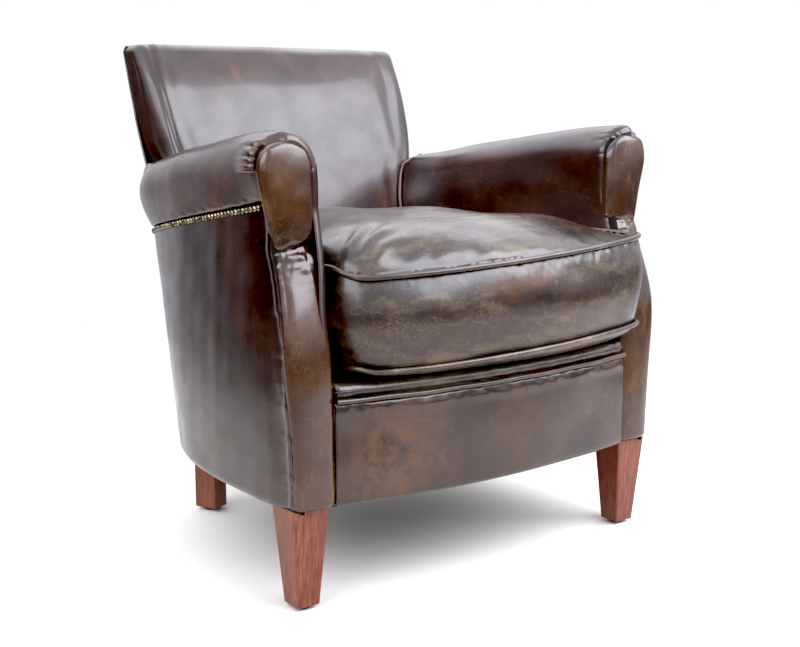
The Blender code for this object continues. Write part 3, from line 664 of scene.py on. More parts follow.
cushion_leather = pull_up_leather(
    "worn pull-up leather, cushion", "#170c08", "#2a1b13", "#523420", "#5d5038",
    wear=0.6, age=0.6, crackle=0.75, marks=0.55, gloss=0.30, dents=0.08, glaze=0.20, stretch=(0.5, 0.8, 1.6))
cord_leather = pull_up_leather(
    "rubbed leather cord", "#251812", "#3b2a20", "#5d4c3c", "#75664f",
    wear=0.6, age=0.4, crackle=0.1, marks=0.1, gloss=0.30, dents=0.1)

# %% [markdown]
# ## Painted shade in the seams
# Every seam of the chair lies in deep shade, darker than the covers here cast on each other.
# It could be painted by a mask in each leather. Here the faces that lie deep in a seam get a
# nearly black finish of their own, painted shade, which follows the rolled edge exactly.


# %% Painted seam shade
def painted_seam_shade():
    """Painted shade: nearly black and quite dull, mottled at 3 mm."""
    made, tree, shader = new_finish("painted shade in the seams")
    place = add(tree, "TexCoord").outputs["Object"]
    dust = add(tree, "TexNoise", {"Vector": place, "Scale": 1 / 0.003, "Detail": 3.0, "Roughness": 0.55})
    tone = add(tree, "Mix", {0: dust, 6: "#050302", 7: "#120b07"}, data_type="RGBA")
    feed(tree, shader, {"Base Color": tone, "Roughness": 0.85, "IOR": 1.3})
    return made


seam_shade = painted_seam_shade()


def paint_seam_shade(piece, deep):
    """Paints shade on the faces whose corners are all in deep."""
    deep = np.asarray(deep).ravel()
    piece.data.materials.append(seam_shade)
    shaded = [face for face in piece.data.polygons if deep[face.vertices].all()]
    for face in shaded:
        face.material_index = 1
    print(piece.name, "has", len(shaded), "soiled faces")


# %% [markdown]
# ## Inside back
# The back is a padded slab that leans back and rolls over at the top. Along its left edge the
# hide is drawn into a groove beside the seam. A flat sheet would show no sides, so the slab is
# a padded block: its front face is crowned, and its rear face follows the outside back.


# %% Inside back
def inside_back():
    low = DECK_Z + 0.02
    size = (0.50, 0.055, TOP_Z - low)
    radius = 0.015

    def shape(u, v, w):
        z = mix(low, TOP_Z, w)
        across = 2 * u - 1
        half = back_half_width(z)
        # The rear edge stays square, so that it closes against the outside back.
        round_share = np.clip(1 - (1 - v) * size[1] / radius, 0, 1)
        across = across / (1 - 1.7 * radius / size[0] * (1 - np.sqrt(1 - round_share ** 2)))
        x = across * mix(half, np.minimum(corner_x(z) - 0.001, half + 0.006), v)
        # A soft roll down the left edge, and a slighter one on the right.
        share = np.clip(1 - (1 - np.abs(across)) * 0.25 / 0.024, 0, 1)
        roll = mix(0.019, 0.006, across > 0) * share ** 2 * ease((z - 0.53) / 0.06)
        crown = 0.010 * (1 - np.abs(across) ** 3) * np.sin(np.pi * np.clip(w, 0, 1)) ** 0.7
        rear = back_y(x, z) - 0.0035
        return x, mix(face_y(z) + roll - crown, rear, v), z + 0.002 * (1 - across ** 2) * w

    def detail(points, u, v, w):
        edge = np.minimum(u, 1 - u) * size[0]
        front = ease((0.3 - v) / 0.2)
        wander = 0.004 * ripples(points, 0.12, 13)
        hollow = bump_at(edge, 0.021 + 0.4 * wander, 0.0042) - 0.8 * bump_at(edge, 0.032 + wander, 0.008)
        hollow -= 0.5 * bump_at(edge, 0.060 + wander, 0.013)
        hollow *= mix(0.15, 1.0, u < 0.5) * ease((points[:, 2] - 0.53) / 0.06)
        pulls = ripples(points, 0.08, 11, (0.6, 1, 2.5)) * bump_at(edge, 0.045, 0.030)
        sag = ripples(points, 0.13, 12, (1, 1, 1.4))
        return front * (-0.0018 * hollow + 0.0009 * pulls + 0.0010 * sag)
    made = block("back_slab", size, (radius, radius, 0.013), (190, 14, 130), shape, back_leather,
                 detail=detail, turn=12)
    settle(made, "cover_leather", "inside_back", fill=0.8)


inside_back()

# %% [markdown]
# ## Outside back and outside arms
# Plain panels, stretched over the barrel frame and tacked under the base, where the hide
# turns under softly. They meet at the rear corner in a hand-sewn seam. Each is a sheet laid
# on the chair's plan, with the slow unevenness that hide keeps over a hollow frame.


# %% Outside back
def outside_back():
    u, w = np.meshgrid(steps(150), steps(150, 0.7), indexing="ij")
    z = mix(BASE_Z - 0.003, TOP_Z - 0.003, w)
    round_top = 0.006 * np.clip((z - TOP_Z + 0.014) / 0.011, 0, 1) ** 2
    x = (1 - 2 * u) * (corner_x(z) + 0.0005 - round_top)
    points = np.stack([x, back_y(x, z), z], -1)
    slack = 0.0012 * ripples(points, 0.16, 21, (1, 1, 1.8)) + 0.0004 * ripples(points, 0.05, 22)
    made = sheet("back_cover", points, panel_leather, (0.004, 0.004, 0.014, 0.008),
                 (0.0025, 0.0025, 0.010, 0.006), slack)
    settle(made, "cover_leather", "outside_back")


outside_back()


# %% Outside arms
def side_panel(side, word):
    u, w = np.meshgrid(steps(190), steps(130, 0.7), indexing="ij")
    y = mix(-0.24, 0.23, u)
    for _ in range(4):
        z = mix(BASE_Z - 0.004, nail_z(y) + 0.004, w)
        y = mix(front_y(z, side) + 0.004, corner_y(z) + 0.001, u)
    front = y - front_y(z, side)
    inset = np.maximum(0.0, side_x(y, z) - facing_out(z))
    points = np.stack([side_x(y, z) - inset * (1 - ease((front - 0.004) / 0.052)), y, z], -1)
    slack = 0.0011 * ripples(points, 0.17, 31 + side, (1, 0.8, 2.5))
    slack += 0.0002 * ripples(points, 0.05, 33 + side)
    pulls = bump_at(front, 0.016, 0.014) * ripples(points, 0.022, 35 + side, (1, 3.0, 0.6))
    ridge = 0.0016 * bump_at(front, 0.014, 0.005)
    made = sheet("outside_arm_" + word, points, panel_leather, (0.006, 0.006, 0.014, 0.004),
                 (0.008, 0.004, 0.010, 0.002), slack + ridge + 0.0004 * pulls, side)
    # Painted shade: the faces within 8.5 mm of the front edge, in the seam beside the facing, get the nearly
    # black finish.
    paint_seam_shade(made, front < 0.0085)
    settle(made, "cover_leather", "side_panel_" + word)


for word, side in (("left", -1), ("right", 1)):
    side_panel(side, word)

# %% [markdown]
# ## Arms
# One hide covers the inside of the arm, goes over the roll and ends under the nails. At the
# front it is gathered in small pleats and drawn into the groove behind the scroll head. A
# section of the arm is swept from front to rear, as the hide lies, and the pleats are folds
# that fade out behind the seam.


# %% Section of the arm
def arm_section(s, y):
    """Path over the arm at depth y: s 0 to 1 up the inner face, 1 to 2 over the roll, 2 to 3
    down the outside to the nails."""
    rear = ease((y - 0.190) / 0.035)
    inner = arm_in(y) - 0.0055 * (1 - rear)
    end_inner = mix(inner, 0.2530, rear)
    inner = np.where(s > 1, mix(inner, end_inner, ease((s - 1) / 0.25)), inner)
    outer = np.maximum(arm_out(y), end_inner + 0.006)
    middle, reach = (inner + outer) / 2, (outer - inner) / 2
    center = ridge_z(y) - ROLL_RZ
    lip_z = nail_z(y) + 0.005
    lip_x = np.minimum(side_x(y, nail_z(y)) + 0.001, outer - 0.002)
    angle = np.pi * (2 - np.clip(s, 1, 2))
    x = middle + reach * np.cos(angle)
    square = mix(1.0, 0.24, ease((y - 0.12) / 0.09) * (s < 1.5))
    z = center + ROLL_RZ * np.sin(angle).clip(1e-9) ** square
    leg = np.clip(s, 0, 1)
    z = np.where(s < 1, mix(DECK_Z - 0.02, center, leg), z)
    x = np.where(s < 1, inner + 0.0050 * (1 - leg) ** 1.5, x)
    x = x - rear_swell(y, z) * (s < 1.5)
    down = np.clip(s - 2, 0, 1)
    x = np.where(s > 2, mix(outer, lip_x, down ** 1.7), x)
    z = np.where(s > 2, mix(center, lip_z, down), z)
    return x, z


# %% Arm covers
def arm_cover(side, word):
    """The hide of one arm: the section swept from the facing to the back, gathered in front."""
    s = np.concatenate([np.linspace(0, 1, 60)[:-1], np.linspace(1, 2, 140)[:-1], np.linspace(2, 3, 40)])
    v = steps(170, 0.75)
    x_end, z_end = arm_section(s, np.full_like(s, 0.2))
    beside = ease((x_end - back_half_width(z_end) + 0.002) / 0.014)
    end = mix(face_y(z_end) + 0.024, ARM_END_Y, beside)
    start = front_y(np.minimum(z_end, TUCK_Z), side) + 0.001 + 0.010 * ease((s - 1.5) / 0.35)
    start = start + 0.007 * (side > 0) * ease((1.5 - s) / 0.3)
    y = mix(start[:, None], end[:, None], v[None, :])
    s = np.broadcast_to(s[:, None], y.shape)
    x, z = arm_section(s, y)
    # The left arm's front edge bulges a little over the cushion.
    x = x - 0.005 * (side < 0) * ease((-0.19 - y) / 0.04) * ease((s - 0.35) / 0.3) * ease((1.12 - s) / 0.27)
    points = np.stack([x, y, z], -1)
    gap = y - start[:, None]
    # Gathers: plump folds of uneven width on the outer half of the roll's end, shorter ones inside.
    drift = 0.7 * ripples(points * (1, 0, 1), 0.05, 41 + side) + 6.0 * gap
    fold = np.abs(np.sin(np.pi * (11.0 * (s - 1) + drift))) ** 0.7 - 0.6
    outside = ease((s - 1.68) / 0.10) * ease((2.10 - s) / 0.05)
    inside = ease((s - 0.98) / 0.06) * ease((1.42 - s) / 0.14) * (1.0 if side > 0 else 0.25)
    uneven = 1 + 0.12 * ripples(points * (1, 0, 1), 0.05, 45 + side)
    length = (0.034 * outside + 0.016 * inside + 0.010) * uneven
    near = np.exp(-np.clip(gap / length, 0, 9) ** 4)
    gathers = 0.0022 * fold * near * (outside + 0.7 * inside + 0.03)
    groove = 0.0075 * ease((s - 1.5) / 0.12) * bump_at(gap, 0.0, 0.009)
    swell = 0.0055 * outside * near * ease(gap / 0.010) - groove
    slack = 0.0010 * ripples(points, 0.07, 47 + side, (1, 2.2, 1))
    lip = 0.0005 * ripples(points, 0.012, 49 + side) * ease((s - 2.7) / 0.3)
    made = sheet("arm_cover_dressed_" + word, points, arm_leather, (0, 0.006, 0.014, 0.014),
                 (0, 0.004, 0.015, 0.010), gathers + swell + slack + lip, side)
    # Painted shade: the faces deep in the groove behind the scroll head, and on the right arm the rolled
    # front edge of its inner face, get the nearly black finish.
    paint_seam_shade(made, gap < 0.0078 * ease((s - 1.66) / 0.14) + 0.006 * (side > 0) * ease((1.3 - s) / 0.1))
    settle(made, "cover_leather", "arm_cover_" + word, fill=0.8)


for word, side in (("left", -1), ("right", 1)):
    arm_cover(side, word)

# %% [markdown]
# ## Facings
# The front of each arm is closed by a padded facing in two parts: a scroll head and a lower
# strip, which is tucked up under the head and puckers there. Both are padded blocks. The
# head's is bent from a square into a disc on a neck, which keeps its mesh even to the edge.


# %% Scroll heads
FACING_DEPTH = 0.018
FACING_RADII = (0.0085, 0.0085, 0.0085)


def facing_head(side, word):
    """Padded disc and neck, set a little inside the end of the roll."""
    inner, outermost = FACING_IN + 0.0022, HEAD_OUT - 0.0015
    if side > 0:
        inner, outermost = inner - 0.0050, outermost - 0.003
    radius, middle = (outermost - inner) / 2, (outermost + inner) / 2
    center = HEAD_TOP - radius
    low = TUCK_Z - 0.004
    straight = center - low
    size = (2 * radius, FACING_DEPTH, straight + radius)

    def shape(u, v, w):
        across = 2 * u - 1
        height = w * size[2]
        over = np.clip((height - straight) / radius, 0, 1)
        bow = mix(0.5, 0.42, ease(u))
        z = np.where(height < straight, low + height, center + radius * over * np.sqrt(1 - bow * across ** 2))
        outer = curve([(low, facing_out(low) - 0.003), (low + 0.03, outermost - 0.015),
                       (center - 0.030, outermost - 0.006), (center, outermost), (HEAD_TOP, outermost)], z)
        edge = inner - 0.002 * ease((center - z) / 0.05)
        half = (outer - edge) / 2
        wide = np.where(height < straight, across * half, across * radius * np.sqrt(1 - bow * over ** 2))
        mid = np.where(height < straight, edge + half, middle)
        # The lower edge arches up towards the inner side, over the tuck.
        z = z + 0.012 * (1 - w) ** 6 * ease(1.1 - 1.4 * u)
        puff = 0.0075 * (1 - across ** 2) ** 0.8 * np.sin(np.pi * np.clip(w, 0.04, 0.96)) ** 0.5
        return mid + wide, front_y(TUCK_Z, side) + 0.002 + v * size[1] - puff * (1 - v), z

    def detail(points, u, v, w):
        front = ease((0.5 - v) / 0.3)
        crush = ripples(points, 0.014, 51 + side, (1.6, 1, 1)) * bump_at(w, 0.03, 0.07) * front
        return 0.0008 * crush + 0.0005 * ripples(points, 0.05, 53 + side) * front
    cells = (44, 6, 84)
    made = block("scroll_head_" + word, size, FACING_RADII, cells, shape, facing_leather, side, detail)
    settle(made, "cover_leather", "facing_head_" + word, fill=0.9)


# %% Lower strips
def facing_post(side, word):
    """Padded strip from the leg to the head. Its top puckers under the head."""
    low, high = BASE_Z, TUCK_Z + 0.010
    size = (FACING_OUT - FACING_IN, FACING_DEPTH, high - low)

    def shape(u, v, w):
        z = mix(low, high, w)
        across = 2 * u - 1
        puff = 0.0065 * (1 - np.abs(across) ** 2.6)
        tuck = (0.003 if side > 0 else 0.011) * ease((z - (TUCK_Z - 0.008)) / 0.016)
        y = front_y(z, side) + v * size[1] + (0.003 - puff) * (1 - v) + tuck
        # Under the head the strip widens inwards, to close against the arm cover.
        inner = facing_in(z) - (0.004 if side > 0 else 0.002) * ease((z - 0.30) / 0.05)
        return mix(inner, facing_out(z), u), y, z

    def detail(points, u, v, w):
        front = ease((0.5 - v) / 0.3)
        below = high - points[:, 2]
        top = np.exp(-(below / 0.024) ** 1.6)
        crush = ripples(points, 0.020, 61 + side, (1.5, 1, 0.6)) + 0.5 * ripples(points, 0.010, 63 + side)
        fan = np.sin(u * 15 + 2.0 * ripples(points, 0.05, 67 + side)) * np.exp(-(below / 0.045) ** 2)
        slack = ripples(points, 0.05, 65 + side, (1, 1, 2.5))
        crush = crush * top * (0.4 if side > 0 else 1.0)
        return front * (0.0018 * crush + 0.0006 * fan + 0.0007 * slack)
    cells = (44, 6, 180)
    made = block("facing_strip_" + word, size, FACING_RADII, cells, shape, facing_leather, side, detail)
    settle(made, "cover_leather", "facing_post_" + word, fill=0.8)


for word, side in (("left", -1), ("right", 1)):
    facing_head(side, word)
    facing_post(side, word)

# %% [markdown]
# ## Front rail
# The apron under the cushion is bowed forward. Its hide puckers along the welt, because the
# welt is sewn on a curve. Above it the platform's front edge is a small padded lip. The apron
# is a sheet and the lip a padded block, both on the same bow.


# %% Front rail
def apron():
    reach = FACING_IN - 0.003
    low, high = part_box("front_panel")
    u, w = np.meshgrid(steps(260, 0.6), steps(70, 0.8), indexing="ij")
    x = (2 * u - 1) * reach
    z = mix(BASE_Z - 0.003, high.z + 0.002, w)
    points = np.stack([x, bow_y(x) + 0.0 * z, z], -1)
    drop = high.z - z
    pucker = ripples(points, 0.020, 71, (1, 1, 1.4)) * np.exp(-(drop / 0.009) ** 2)
    slack = ripples(points, 0.11, 72, (1.4, 1, 1))
    lift = 0.0010 * pucker + 0.0010 * bump_at(drop, 0.010, 0.007) + 0.0008 * slack
    made = sheet("front_apron", points, apron_leather, (0.004, 0.004, 0.012, 0.006),
                 (0.003, 0.003, 0.009, 0.005), lift)
    settle(made, "cover_leather", "front_panel")


def lip():
    low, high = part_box("front_lip")
    size = (2 * FACING_IN - 0.008, 0.05, high.z - low.z + 0.003)

    def shape(u, v, w):
        x = (2 * u - 1) * size[0] / 2
        return x, bow_y(x) + 0.001 + v * size[1], mix(low.z - 0.001, high.z + 0.002, w)

    def detail(points, u, v, w):
        ends = 0.3 + 1.7 * np.clip(np.abs(2 * u - 1) * 8 - 7, 0, 1)
        return 0.0006 * ends * ripples(points, 0.030, 75, (1, 1, 0.6))
    made = block("platform_lip", size, (0.007, 0.012, 0.0105), (220, 10, 4), shape, cushion_leather,
                 detail=detail)
    settle(made, "cover_leather", "front_lip", fill=0.7)


apron()
lip()

# %% [markdown]
# ## Loose cushion
# A boxed cushion, feather over foam: a top and a bottom panel, a border between them and a
# welt in each seam. It sits askew, its right end higher. Simulated cloth would swell it
# evenly, and this one is crushed and pushed aside by long use. So it is built of rings, from
# the middle of the underside, up the border, to the middle of the crown, which puts each
# seam, tuck and sag where it belongs.


# %% Cushion plan
CUSHION_MIDDLE = np.array([0.0, -0.08])
CUSHION_HALF = 0.257
CUSHION_FRONT = -0.3125
REAR_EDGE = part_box("seat_cushion")[1].y


def cushion_edge(count):
    """Plan of the border. The cushion has shifted: its front right corner stands proud."""
    angle = np.linspace(0, 2 * np.pi, count, endpoint=False)
    c, s = np.sin(angle), -np.cos(angle)
    grow = 1 / (np.abs(c) ** 8 + np.abs(s) ** 8) ** (1 / 8)
    u, v = c * grow, s * grow
    y = mix(CUSHION_FRONT, REAR_EDGE, (v + 1) / 2)
    x = u * (arm_in(np.maximum(y, HEAD_Y)) - 0.0072)
    front = CUSHION_FRONT - 0.040 * (1 - (x / CUSHION_HALF) ** 2) - 0.0125 * x / CUSHION_HALF
    y = np.where(v < 0, mix(y, front + 0.09 * (1 + v), np.clip(-v, 0, 1) ** 3), y)
    slide = 0.017 * ease((x - 0.15) / 0.1) * ease((-0.292 - y) / 0.02)
    slide += 0.010 * ease((-x - 0.10) / 0.10) * ease((-y - 0.18) / 0.08)
    return np.stack([x + slide, y], 1)


def top_seam(x, y):
    """Height of the top seam: lower to the left, and lifted a little behind the left corner."""
    lift = np.clip((-x - 0.18) / 0.07, 0, 1) * np.clip((y + 0.305) / 0.045, 0, 1)
    return 0.4455 + 0.014 * x / 0.25 + 0.013 * lift


def low_seam(x, y):
    """Height of the bottom seam: near the deck, but lifted where it overhangs the front rail."""
    curl = 0.010 * ease((-x - 0.205) / 0.05) * ease((-y - 0.24) / 0.06)
    return mix(DECK_Z + 0.0125, 0.322 + 0.0105 * x / 0.25 + curl, np.clip((-y - 0.24) / 0.06, 0, 1))


def low_tuck(x, y):
    """How far the bottom seam is pulled in under the front left corner, and let out at the right."""
    left = 0.011 * ease((-x - 0.19) / 0.06) * ease((-y - 0.2) / 0.08)
    return left - 0.002 * ease((x - 0.17) / 0.07) * ease((-y - 0.25) / 0.05)


def crown(x, y, depth):
    """Height of the top panel: plumped soon behind its seam, and falling to the right and rear."""
    fall = 0.031 * (np.hypot(x + 0.05, 0.05) + x + 0.05) + 0.045 * np.maximum(0.0, y + 0.1)
    soft = mix(0.55, 1.3, ease((x - 0.02) / 0.16))
    rise = (1 - (1 - np.clip(depth / 0.2, 0, 1)) ** 2.6) ** soft
    return mix(top_seam(x, y), 0.501 - fall, rise)


print("cushion: rear edge at", round(REAR_EDGE, 3))


# %% Cushion rings
EDGE_POINTS = 620
UNDER_RINGS, BORDER_RINGS = 12, 44


def cushion_rings():
    """Points of the cushion, ring by ring, from the middle of its underside to its crown."""
    edge = cushion_edge(EDGE_POINTS)
    high, low = top_seam(*edge.T), low_seam(*edge.T)
    inward = CUSHION_MIDDLE - edge
    reach = np.linalg.norm(inward, axis=1)
    inward /= reach[:, None]
    tuck = low_tuck(*edge.T)
    rings = []

    def ring(inset, z):
        spot = edge + inward * np.asarray(inset).reshape(-1, 1)
        rings.append(np.column_stack([spot, np.broadcast_to(z, EDGE_POINTS)]))
    base = DECK_Z + 0.001
    for share in (0.85, 0.6, 0.3, 0.1):
        ring(reach * share, mix(base, low - 0.010, 0.45 * (1 - share) ** 6))
    for t in np.linspace(0, 1, UNDER_RINGS - 3)[1:]:
        ring(0.014 * (1 - t) ** 2 + 0.003 + tuck, mix(mix(base, low - 0.010, 0.6), low, t))
    for t in steps(BORDER_RINGS, 0.6)[1:]:
        swell = 0.0130 * (1 - abs(2 * t ** 1.15 - 1) ** 1.9)
        ring(0.0045 - swell + tuck * (1 - t) ** 1.5, mix(low, high, t))
    # One ring under the welt, then the top panel.
    ring(0.0036, high + 0.0020)
    for share in np.linspace(0, 1, 84)[1:-1] ** 1.25:
        inset = reach * share
        spot = edge + inward * inset[:, None]
        ring(0.0036 + inset * 0.982, crown(*spot.T, inset) + 0.0010 * (1 - share) ** 6)
    return edge, high, low, np.array(rings)


# %% Loose cushion
def loose_cushion():
    edge, high, low, rings = cushion_rings()
    rows = len(rings)
    index = np.arange(rows * EDGE_POINTS).reshape(rows, EDGE_POINTS)
    ahead = np.roll(index, -1, axis=1)
    quads = np.stack([index[:-1], ahead[:-1], ahead[1:], index[1:]], -1).reshape(-1, 4).tolist()
    quads += [index[0][::-1].tolist(), index[-1].tolist()]
    made = new_object("loose_cushion", rings.reshape(-1, 3), quads, cushion_leather)
    place = points_of(made)
    number = np.repeat(np.arange(rows), EDGE_POINTS)
    x, y, z = place.T
    welt_ring = UNDER_RINGS + BORDER_RINGS
    border = (number >= UNDER_RINGS) & (number < welt_ring)
    top = number > welt_ring
    # Puckers below the top welt, and folds that start behind it.
    below = np.where(border, np.tile(high, rows) - z, 1.0)
    right = ease((x + 0.05) / 0.2)
    pucker = ripples(place, 0.013, 81, (1, 1, 2.5)) * np.exp(-(below / 0.016) ** 1.5) * (0.3 + right)
    depth = np.where(top, np.linalg.norm(place[:, :2] - np.tile(edge, (rows, 1)), axis=1), 1.0)
    seam_folds = ripples(place, 0.034, 82, (1, 1, 1)) * np.exp(-(depth / 0.030) ** 1.4) * ease(depth / 0.012)
    # Folds that fan out from the front left corner.
    corner = np.hypot(x + 0.235, y + 0.29)
    bearing = np.arctan2(y + 0.31, x + 0.265)
    fan = np.sin(bearing * 17 + 2.0 * ripples(place, 0.09, 83)) * bump_at(corner, 0.06, 0.045)
    fan = fan * top * ease(depth / 0.02)
    # Dents all over, and sharper creases where one sits.
    dents = ripples(place, 0.10, 84) * (top + 0.5 * border)
    creased = top * ease((0.14 - np.abs(x + 0.02)) / 0.1)
    sat = -np.abs(ripples(place, 0.045, 85, (2.4, 0.7, 1))) ** 0.5 * creased
    push(made, 0.0012 * pucker + 0.0008 * seam_folds + 0.0016 * fan + 0.0018 * dents + 0.0006 * sat)
    # Painted shade: the faces just under the top welt, the welt's own ring and the foot of the border get the
    # nearly black finish.
    under_welt = (border & (below < 0.006)) | (number == welt_ring)
    paint_seam_shade(made, under_welt | (border & (z - np.tile(low, rows) < 0.004)))
    settle(made, "cover_leather", "seat_cushion", fill=0.6)


loose_cushion()

# %% [markdown]
# ## Welts and piping
# Cords wrapped in a strip of the same hide. They are rubbed first of all, so they are paler.
# A curve with a round bevel is enough: it follows the same seams that the covers do.


# %% Welts
RAIL_WELT_Z = 0.2775


def cord(name, points, radius, nodes, closed=False):
    """A round welt along points."""
    data = bpy.data.curves.new(name, "CURVE")
    data.dimensions = "3D"
    data.bevel_depth = radius
    data.bevel_resolution = 4
    data.use_fill_caps = not closed
    line = data.splines.new("POLY")
    line.points.add(len(points) - 1)
    line.points.foreach_set("co", np.column_stack([points, np.ones(len(points))]).ravel())
    line.use_cyclic_u = closed
    data.materials.append(cord_leather)
    made = bpy.data.objects.new(name, data)
    bpy.context.scene.collection.objects.link(made)
    settle(made, "piping_leather", *nodes)


def cushion_welts():
    edge = cushion_edge(400)
    out = edge - CUSHION_MIDDLE
    out /= np.linalg.norm(out, axis=1, keepdims=True)
    high, low = top_seam(*edge.T), low_seam(*edge.T)
    over = np.column_stack([edge + out * 0.0012, high + 0.0008])
    under = np.column_stack([edge + out * (0.0010 - low_tuck(*edge.T))[:, None], low - 0.0006])
    cord("welt_top", over, 0.0038, ["cushion_welt_top"], closed=True)
    cord("welt_bottom", under, 0.0034, ["cushion_welt_bottom"], closed=True)


def rail_welt():
    x = np.linspace(-FACING_IN + 0.005, FACING_IN - 0.005, 120)
    z = RAIL_WELT_Z + 0.0004 * np.sin(x * 60)
    cord("rail_welt", np.column_stack([x, bow_y(x) - 0.0005, z]), 0.0036, ["front_welt"])


def joint_piping(side, word):
    """Runs up the joint of arm and back, then over the roll."""
    z = np.linspace(0.33, 0.525, 34)
    y = face_y(z) - 0.006
    rise = np.column_stack([arm_in(y) - 0.0085 - rear_swell(y, z), y, z])
    along = np.linspace(1.05, 1.34, 24)
    x, top = arm_section(along, np.full(24, 0.2135))
    over = np.column_stack([x - 0.0030, face_y(top) - 0.004, top + 0.0015])
    points = np.vstack([rise, over]) * (side, 1, 1)
    cord("joint_piping_" + word, points, 0.0032, ["back_piping_" + word])


cushion_welts()
rail_welt()
for word, side in (("left", -1), ("right", 1)):
    joint_piping(side, word)

# %% [markdown]
# ## Nails
# Close-set domed nails in antiqued brass hold the roll's hide along the outside arm. Brass is
# a metal, so its colour is all in its reflection, and old lacquer leaves dark brown on it.
# Each head is a small dome of its own, turned to the panel, and all of a side's are one mesh.


# %% Nails
def antique_brass():
    """Brass with its tarnish in spots of about 6 mm."""
    made, tree, shader = new_finish("antiqued brass, domed nails")
    place = add(tree, "TexCoord").outputs["Object"]
    tarnish = add(tree, "TexNoise", {"Vector": place, "Scale": 160.0, "Detail": 3.0})
    tarnish = add(tree, "MapRange", (tarnish, 0.4, 0.65))
    tone = add(tree, "Mix", {0: tarnish, 6: "#9c9074", 7: "#30291f"}, data_type="RGBA")
    rough = add(tree, "MapRange", {"Value": tarnish, "To Min": 0.24, "To Max": 0.5})
    feed(tree, shader, {"Base Color": tone, "Roughness": rough, "Metallic": 1.0})
    return made


brass = antique_brass()


# %% Nail rows
NAIL_PITCH, NAIL_RADIUS, NAIL_RISE = 0.0090, 0.0039, 0.0026
NAIL_TURNS, NAIL_RINGS = 14, 5


def nail_dome(y):
    """Points of one nail head at depth y, from its rim to its top."""
    z = nail_z(y)
    near = 0.002
    outwards = side_x(y + near, z) - side_x(y - near, z)
    ahead = np.array([outwards, 2 * near, nail_z(y + near) - nail_z(y - near)])
    ahead /= np.linalg.norm(ahead)
    out = np.array([ahead[1], -ahead[0], 0.0])
    out /= np.linalg.norm(out)
    up = np.cross(out, ahead)
    up *= np.sign(up[2])
    base = np.array([side_x(y, z), y, z]) + out * 0.0006
    points = []
    for tilt in np.linspace(0, np.pi / 2, NAIL_RINGS + 1)[:-1]:
        for angle in np.linspace(0, 2 * np.pi, NAIL_TURNS, endpoint=False):
            flat = ahead * np.cos(angle) + up * np.sin(angle)
            points.append(base + flat * NAIL_RADIUS * np.cos(tilt) + out * NAIL_RISE * np.sin(tilt))
    return points + [base + out * NAIL_RISE]


def nail_faces(first):
    """Faces of one nail head whose points start at first: rings, a fan at the top, a flat back."""
    faces = []
    for ring in range(NAIL_RINGS - 1):
        for k in range(NAIL_TURNS):
            a, b = (first + ring * NAIL_TURNS + each for each in (k, (k + 1) % NAIL_TURNS))
            faces.append((a, b, b + NAIL_TURNS, a + NAIL_TURNS))
    last = first + (NAIL_RINGS - 1) * NAIL_TURNS
    for k in range(NAIL_TURNS):
        faces.append((last + k, last + (k + 1) % NAIL_TURNS, last + NAIL_TURNS))
    faces.append(tuple(range(first + NAIL_TURNS - 1, first - 1, -1)))
    return faces


def nail_row(side, word):
    low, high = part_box("nail_strip_" + word)
    start, end = low.y + 0.004, high.y - 0.004
    count = int((end - start) / NAIL_PITCH) + 1
    vertices, faces = [], []
    for number in range(count):
        faces += nail_faces(len(vertices))
        vertices += nail_dome(np.array(start + number * NAIL_PITCH))
    vertices = np.array(vertices) * (side, 1, 1)
    if side < 0:
        faces = [face[::-1] for face in faces]
    made = new_object("nails_" + word, vertices, faces, brass)
    settle(made, "trim_brass", "nail_strip_" + word)
    return count


for word, side in (("left", -1), ("right", 1)):
    print("nails", word, nail_row(side, word))

# %% [markdown]
# ## Legs and hidden pieces
# The legs are beech, stained to red mahogany and varnished. The pieces inside keep their
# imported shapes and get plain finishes: sawn ash, spring wire, jute, black cloth. Grain is a
# noise stretched along the leg, because a ring pattern shows only on a cut end.


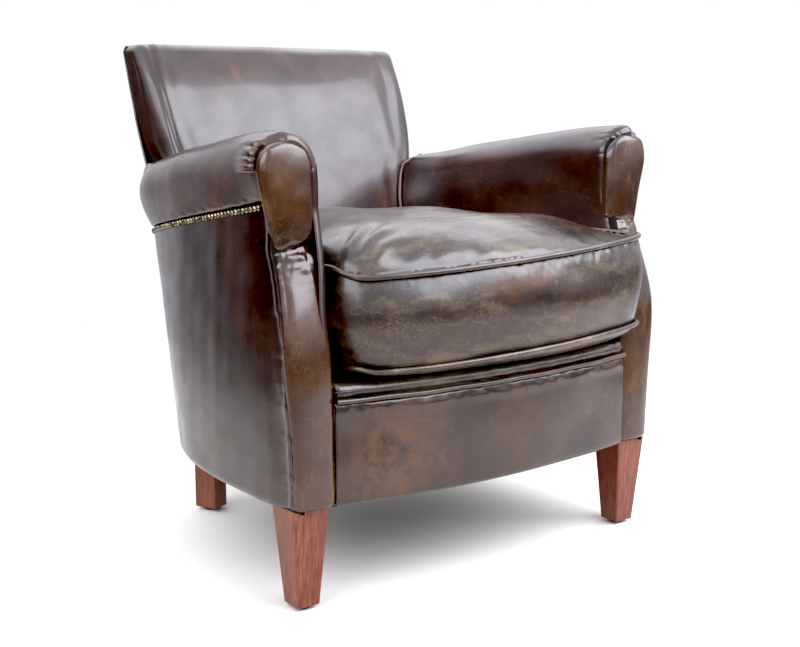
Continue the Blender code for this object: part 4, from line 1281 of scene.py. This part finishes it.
# %% Wood and plain finishes
def stained_wood(name, dark, light, gloss, grain=1.0):
    """Wood with its grain up the leg: lines about 2 mm apart, stretched 30 times along Z."""
    made, tree, shader = new_finish(name)
    place = add(tree, "TexCoord").outputs["Object"]
    long = add(tree, "VectorMath", (place, (1.0, 1.0, 0.035)), operation="MULTIPLY")
    line = add(tree, "TexNoise", {"Vector": long, "Scale": 420.0, "Detail": 4.0, "Roughness": 0.7})
    line = add(tree, "MapRange", (line, 0.35, 0.65))
    wide = add(tree, "TexNoise", {"Vector": long, "Scale": 70.0, "Detail": 2.0})
    both = add(tree, "Math", (line, wide), operation="MULTIPLY")
    both = add(tree, "Math", (both, 1.6 * grain), operation="MULTIPLY", use_clamp=True)
    tone = add(tree, "Mix", {0: both, 6: dark, 7: light}, data_type="RGBA")
    bumps = add(tree, "Bump", {"Height": line, "Strength": 0.25, "Distance": 0.0003})
    feed(tree, shader, {"Base Color": tone, "Roughness": gloss, "Normal": bumps})
    return made


def plain_finish(name, dark, light, size, gloss, metallic=0.0):
    """A finish mottled at one real size in metres."""
    made, tree, shader = new_finish(name)
    place = add(tree, "TexCoord").outputs["Object"]
    mottle = add(tree, "TexNoise", {"Vector": place, "Scale": 1 / size, "Detail": 3.0})
    tone = add(tree, "Mix", {0: mottle, 6: dark, 7: light}, data_type="RGBA")
    bumps = add(tree, "Bump", {"Height": mottle, "Strength": 0.3, "Distance": 0.0004})
    feed(tree, shader, {"Base Color": tone, "Roughness": gloss, "Metallic": metallic, "Normal": bumps})
    return made


finishes = {
    "leg_wood": stained_wood("stained beech, satin varnish", "#48180c", "#8b4e34", 0.34, 0.7),
    "frame_wood": stained_wood("sawn ash", "#a5855c", "#d2b98e", 0.75),
    "spring_steel": plain_finish("drawn spring wire", "#55565a", "#7b7c80", 0.004, 0.35, 1.0),
    "jute_webbing": plain_finish("woven jute", "#7d6540", "#a98f62", 0.003, 0.9),
    "deck_padding": plain_finish("dark platform cloth", "#120e0c", "#1f1814", 0.003, 0.85),
    "dust_cloth": plain_finish("black dust cloth", "#0d0d0d", "#1b1b1b", 0.002, 0.9),
    "glide_plastic": plain_finish("moulded nylon glide", "#101010", "#1c1a19", 0.004, 0.5),
}
slots = {row["node"]: row["material_slot"] for row in frame["record"]["subparts"]}
for name, node in frame["nodes"].items():
    if slots[name] in finishes:
        node.data.materials.clear()
        node.data.materials.append(finishes[slots[name]])
print("plain finishes:", ", ".join(finishes))
